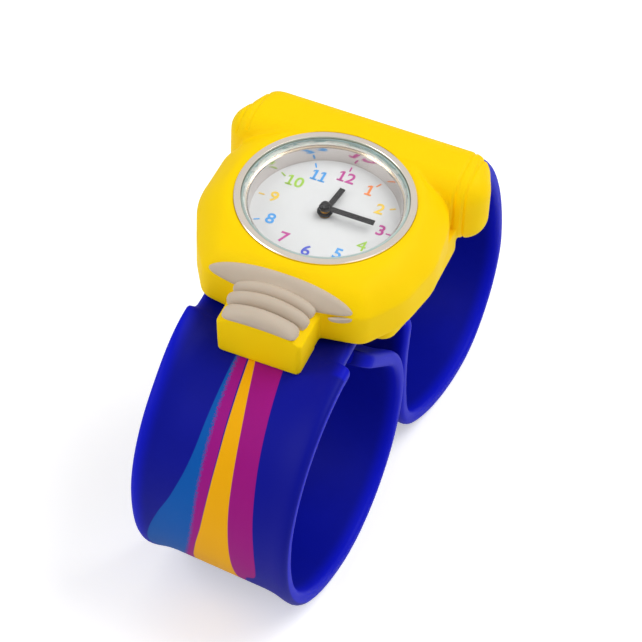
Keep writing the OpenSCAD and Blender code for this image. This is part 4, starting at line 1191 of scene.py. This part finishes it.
def figure_one():
    """A stem on a foot, with a short flag that leans down to the left."""
    stem = bar(-STROKE / 2, 0, STROKE / 2, FIGURE_H)
    foot = bar(-FOOT_HALF_W, 0, FOOT_HALF_W, FOOT_H)
    flag_low = FIGURE_H - FLAG_DROP - FOOT_H
    flag = bar(-FOOT_HALF_W, flag_low, -STROKE / 2, FIGURE_H - FLAG_DROP)
    for point in flag.data.vertices:
        if point.co.x > -0.3:
            point.co.y += FLAG_DROP
    return joined([stem, foot, flag], "figure")


# %% Figures from the typeface
TYPE_SIZE, TYPE_WEIGHT = 2.7, 0.045


def figure(text):
    """One typeface figure that stands on the line and has the figures' height."""
    bpy.ops.object.select_all(action="DESELECT")
    bpy.ops.object.text_add(location=(0, 0, 0))
    made = bpy.context.object
    made.data.body = text
    made.data.size = TYPE_SIZE
    # the weight would close the small counter of the 4
    made.data.offset = 0.0 if text == "4" else TYPE_WEIGHT
    made.data.extrude = INK
    made.data.resolution_u = 6
    bpy.ops.object.convert(target="MESH")
    made = fresh("figure")
    low = Vector([min(v.co[k] for v in made.data.vertices) for k in range(3)])
    high = Vector([max(v.co[k] for v in made.data.vertices) for k in range(3)])
    size = FIGURE_H / (high.y - low.y)
    for point in made.data.vertices:
        point.co.x = (point.co.x - (low.x + high.x) / 2) * size
        point.co.y = (point.co.y - low.y) * size
    return made


figures = {text: figure_one() if text == "1" else figure(text) for text in "0123456789"}
print("cut", len(figures), "figures", FIGURE_H, "mm high")

# %% [markdown]
# ### Printing the dial
# A number is one or two copies of these figures side by side, centred on its place. The printer
# spaced the numbers by eye, so they do not stand on a true circle. The ticks do, each turned to
# its own hour.

# %% Writing numbers
FIGURE_GAP = 0.16


def copied(piece):
    """A copy of a piece with its own mesh."""
    twin = piece.copy()
    twin.data = piece.data.copy()
    bpy.context.collection.objects.link(twin)
    return twin


def written(number):
    """The figures of one number side by side, centred."""
    pieces, cursor = [], 0.0
    for text in str(number):
        piece = copied(figures[text])
        half = max(point.co.x for point in piece.data.vertices)
        piece.data.transform(Matrix.Translation((cursor + half, 0, 0)))
        cursor += 2 * half + FIGURE_GAP
        pieces.append(piece)
    made = joined(pieces, "number")
    made.data.transform(Matrix.Translation(((FIGURE_GAP - cursor) / 2, -FIGURE_H / 2, 0)))
    return made


# %% Dial print
DIAL_DEPTH, TICK_FROM, TICK_TO, TICK_HALF_W = 3.8, 8.93, 9.8, 0.11
NUMBER_PLACES = {
    12: (0.1, 7.7), 1: (3.9, 6.7), 2: (6.5, 4.0), 3: (8.1, 0.3), 4: (6.8, -3.4), 5: (4.4, -6.1),
    6: (0.3, -7.3), 7: (-3.4, -6.3), 8: (-6.4, -3.8), 9: (-7.6, 0.2), 10: (-6.1, 4.1),
    11: (-3.5, 6.4),
}
first_tick = bar(TICK_FROM, -TICK_HALF_W, TICK_TO, TICK_HALF_W)
bevel_where(first_tick, lambda m, d: abs(d.z) > 0.9, 0.06, 2)
on_dial = Matrix.Translation((0, 0, INK - DIAL_DEPTH))
for hour, ink in HOURS.items():
    number = written(hour)
    number.data.transform(Matrix.Translation((*NUMBER_PLACES[hour], INK - DIAL_DEPTH)))
    tick = copied(first_tick)
    tick.data.transform(on_dial @ Matrix.Rotation(math.radians(90 - 30 * hour), 4, "Z"))
    mark = joined([number, tick], "hour_mark_%d" % hour)
    mark.data.materials.clear()
    mark.data.materials.append(ink_finishes[ink])
    settle(mark)
    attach(mark, "capsule")
for used in (first_tick, *figures.values()):
    bpy.data.objects.remove(used, do_unlink=True)
print("printed", len(HOURS), "numbers")

# %% [markdown]
# ## Metal, lacquer and glass of the capsule
# These solids keep their exact shapes and only get their finishes. Metals take their whole look
# from what they mirror, so a slow film of unequal polish matters more than their colour.

# %% Metals of the capsule
# polished, then tumbled alloy: warm, soft mirror images without sharp edges
polished_alloy, tree, shader = finish(
    "polished_alloy_tumbled", "#EFE6DB", Metallic=1.0, Roughness=0.26
)
patterned(
    tree, shader, grain(tree, 5.0), tones=("#EBDFD0", "#F2E8DC"), roughness=(0.2, 0.28)
)

# brushed steel: fine parallel lines that stretch each highlight across them
brushed_steel, tree, shader = finish("brushed_steel_back", "#BFC0C2", Metallic=1.0, Roughness=0.35)
lines = grain(tree, 0.15, 2.0, (1, 0.02, 1))
patterned(tree, shader, lines, roughness=(0.25, 0.45), relief_mm=0.004, strength=0.5)

# plastic metallised in vacuum: nearly a mirror, so it repeats the dial's numbers
mirror_ring, tree, shader = finish(
    "vacuum_metallised_ring", "#D6CFCB", Metallic=1.0, Roughness=0.1
)
patterned(
    tree, shader, grain(tree, 1.5), tones=("#D2CBC7", "#DAD3CF"), roughness=(0.06, 0.14)
)
print("polished", polished_alloy.name, brushed_steel.name, mirror_ring.name)

# %% Lacquers of the dial and hands
# satin white lacquer: paper-like, with one broad dull sheen
dial_lacquer, tree, shader = finish("white_dial_lacquer", "#C4C3C3", Roughness=0.4, IOR=1.5)
patterned(
    tree, shader, grain(tree, 2.0), tones=("#C2C1C1", "#C7C6C6"), roughness=(0.34, 0.46)
)

# black lacquer on stamped hands: deep, with a soft grey edge to its highlights
black_lacquer, tree, shader = finish("black_hand_lacquer", "#151213", Roughness=0.38, IOR=1.5)
patterned(
    tree, shader, grain(tree, 0.3), tones=("#141112", "#171415"), roughness=(0.36, 0.42)
)
print("lacquered", dial_lacquer.name, black_lacquer.name)

# %% [markdown]
# ### Glass
# Light passes the clear pane on its way to the dial, so rays that only look for shadow see it as
# clear. The pane's rim is ground, so beyond a distance from its axis it is dull and greenish.
# Its refractive index is set below that of real glass, because the photograph shows hardly any
# mirror image on it.

# %% Mineral glass
RIM_FROM, RIM_TO = 11.19, 11.24
# polished mineral glass: almost nothing but a faint pale sheen, with slight smears
mineral_glass, tree, shader = finish(
    "mineral_glass_polished", "#FDFEFE", Roughness=0.0, IOR=1.26, Transmission_Weight=1.0
)
patterned(tree, shader, grain(tree, 3.0), roughness=(0.0, 0.02))
rays = add_node(tree, "ShaderNodeLightPath")
clear = add_node(tree, "ShaderNodeBsdfTransparent", {"Color": (0.96, 0.97, 0.97, 1)})
pane = {0: rays.outputs["Is Shadow Ray"], 1: shader.outputs[0], 2: clear.outputs[0]}
pane = add_node(tree, "ShaderNodeMixShader", pane)
place = add_node(tree, "ShaderNodeTexCoord")
from_middle = {0: place.outputs["Object"], 1: head_place.translation}
from_middle = add_node(tree, "ShaderNodeVectorMath", from_middle, operation="SUBTRACT")
from_axis = {0: from_middle.outputs[0], 1: dial_axis}
from_axis = add_node(tree, "ShaderNodeVectorMath", from_axis, operation="CROSS_PRODUCT")
away = add_node(tree, "ShaderNodeVectorMath", {0: from_axis.outputs[0]}, operation="LENGTH")
rim = {"Value": away.outputs["Value"], "From Min": RIM_FROM * MM, "From Max": RIM_TO * MM}
rim = add_node(tree, "ShaderNodeMapRange", rim)
ground = {"Base Color": colour("#BCD0CD"), "Roughness": 0.5, "IOR": 1.5}
ground = add_node(tree, "ShaderNodeBsdfPrincipled", ground)
whole = {0: rim.outputs[0], 1: pane.outputs[0], 2: ground.outputs[0]}
whole = add_node(tree, "ShaderNodeMixShader", whole)
out = next(node for node in tree.nodes if node.type == "OUTPUT_MATERIAL")
tree.links.new(whole.outputs[0], out.inputs["Surface"])
print("ground the rim of", mineral_glass.name, "from", RIM_FROM, "mm on")

# %% [markdown]
# ## Finishes of the movement
# Nobody sees the movement until the case is opened, but each of its pieces still gets what it is
# made of. Most of them differ from one another only in a few values, so these stand in a table.
# Each row gives colour and shader values, the pattern's size, detail and stretch, and what the
# pattern moves.

# %% Table of the movement's finishes
LAPPED, DRAWN = (1, 0.05, 1), (1, 0.03, 1)
MOVEMENT_FINISHES = {
    # yellow metal lapped flat, with hair-fine lines
    "rolled_brass_lapped": (
        "#D9B25E", dict(Metallic=1.0, Roughness=0.3), (0.08, 2.0, LAPPED),
        dict(roughness=(0.22, 0.4)),
    ),
    # warm white plating, evenly satin
    "nickel_plated_steel": (
        "#C9C6BE", dict(Metallic=1.0, Roughness=0.28), (0.4,), dict(roughness=(0.2, 0.36)),
    ),
    # cold grey tape with the rolling lines along it
    "cold_rolled_spring_steel": (
        "#AEB0B4", dict(Metallic=1.0, Roughness=0.3), (0.2, 2.0, DRAWN),
        dict(roughness=(0.24, 0.4)),
    ),
    # dull dark iron, clouded by the annealing
    "annealed_soft_iron": (
        "#77797C", dict(Metallic=1.0, Roughness=0.5), (0.6, 3.0),
        dict(tones=("#6C6E71", "#838588")),
    ),
    # milky plastic that lets a little light in
    "white_acetal_moulded": (
        "#EFEDE6", dict(Roughness=0.45, IOR=1.48, Subsurface_Weight=0.1, Subsurface_Scale=0.0005),
        (0.3,), dict(roughness=(0.4, 0.55)),
    ),
    # glossy green varnish over copper and fibre
    "green_solder_mask": (
        "#1E7A3C", dict(Roughness=0.3, IOR=1.5), (0.5,), dict(tones=("#196B34", "#238746")),
    ),
    # a cured black drop with a soft shine
    "black_epoxy_blob": (
        "#161616", dict(Roughness=0.4, IOR=1.55), (0.3,), dict(roughness=(0.32, 0.5)),
    ),
    # matt black rubber that swallows its highlights
    "black_nitrile_rubber": (
        "#1B1B1C", dict(Roughness=0.65, IOR=1.52), (0.2,), dict(roughness=(0.55, 0.75)),
    ),
}
made_of = {}
for name, (base, values, pattern, moves) in MOVEMENT_FINISHES.items():
    made_of[name], tree, shader = finish(name, base, **values)
    patterned(tree, shader, grain(tree, *pattern), **moves)
print("mixed", len(made_of), "finishes from the table")

# %% [markdown]
# The coil is wound from lacquered copper wire. The wire is finer than the picture can show, so
# its turns are drawn 0.2 mm apart, as bands across the coil's length.

# %% Copper winding
TURN_PITCH = 0.2
# lacquered copper wire: orange-brown metal, ribbed turn by turn
copper, tree, shader = finish("lacquered_copper_winding", "#C4683A", Metallic=1.0, Roughness=0.35)
place = add_node(tree, "ShaderNodeTexCoord")
turns = {"Vector": place.outputs["Object"], "Scale": 1 / (TURN_PITCH * MM) / 6.28}
turns = add_node(tree, "ShaderNodeTexWave", turns, bands_direction="X")
patterned(tree, shader, turns.outputs["Fac"], relief_mm=0.03, strength=0.8)
print("wound the coil with turns", TURN_PITCH, "mm apart")

# %% [markdown]
# ## Giving the solids their finishes
# Every solid of the frame wears a finish, also those that a modelled piece replaces in the
# picture. The steel strip was modelled before its finish was made, so it gets that here.

# %% Giving the solids their finishes
WEARS = {
    polished_alloy: ["bezel", "case_band", "crown", "winding_stem", "crown_tube"],
    mineral_glass: ["glass"],
    brushed_steel: ["case_back"],
    mirror_ring: ["reflector_ring"],
    dial_lacquer: ["dial"],
    black_lacquer: ["hour_hand", "minute_hand", "centre_cap"],
    copper: ["coil_winding"],
    yellow_silicone: ["tube_cover"],
    grey_silicone: ["shoulder_trim", "thread_ridges"],
    blue_silicone: ["strap_sleeve"],
    made_of["white_acetal_moulded"]: [
        "glass_gasket", "movement_ring", "intermediate_wheel", "rotor_pinion",
    ],
    made_of["black_nitrile_rubber"]: ["back_gasket"],
    made_of["rolled_brass_lapped"]: [
        "main_plate", "dial_washer", "cannon_pinion", "hour_wheel", "minute_wheel",
        "centre_wheel", "third_wheel", "second_wheel",
    ],
    made_of["nickel_plated_steel"]: [
        "train_bridge", "bridge_screws", "setting_lever", "quartz_can", "battery", "rotor_magnet",
    ],
    made_of["cold_rolled_spring_steel"]: ["spring_strip", "battery_clip"],
    made_of["annealed_soft_iron"]: ["stator", "coil_core"],
    made_of["green_solder_mask"]: ["circuit_board"],
    made_of["black_epoxy_blob"]: ["drive_chip"],
}
for material, names in WEARS.items():
    for name in names:
        slots = frame["nodes"][name].material_slots
        if not slots:
            frame["nodes"][name].data.materials.append(material)
        for place in slots:
            place.material = material
strip.data.materials.append(made_of["cold_rolled_spring_steel"])
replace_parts(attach(strip, "cover"), "spring_strip")
print("finished", sum(len(names) for names in WEARS.values()), "solids")

# %% [markdown]
# ## Last settings
# The picture uses the plain Standard view, so that a colour shows about as it was written.

# %% View
bpy.context.scene.view_settings.view_transform = "Standard"
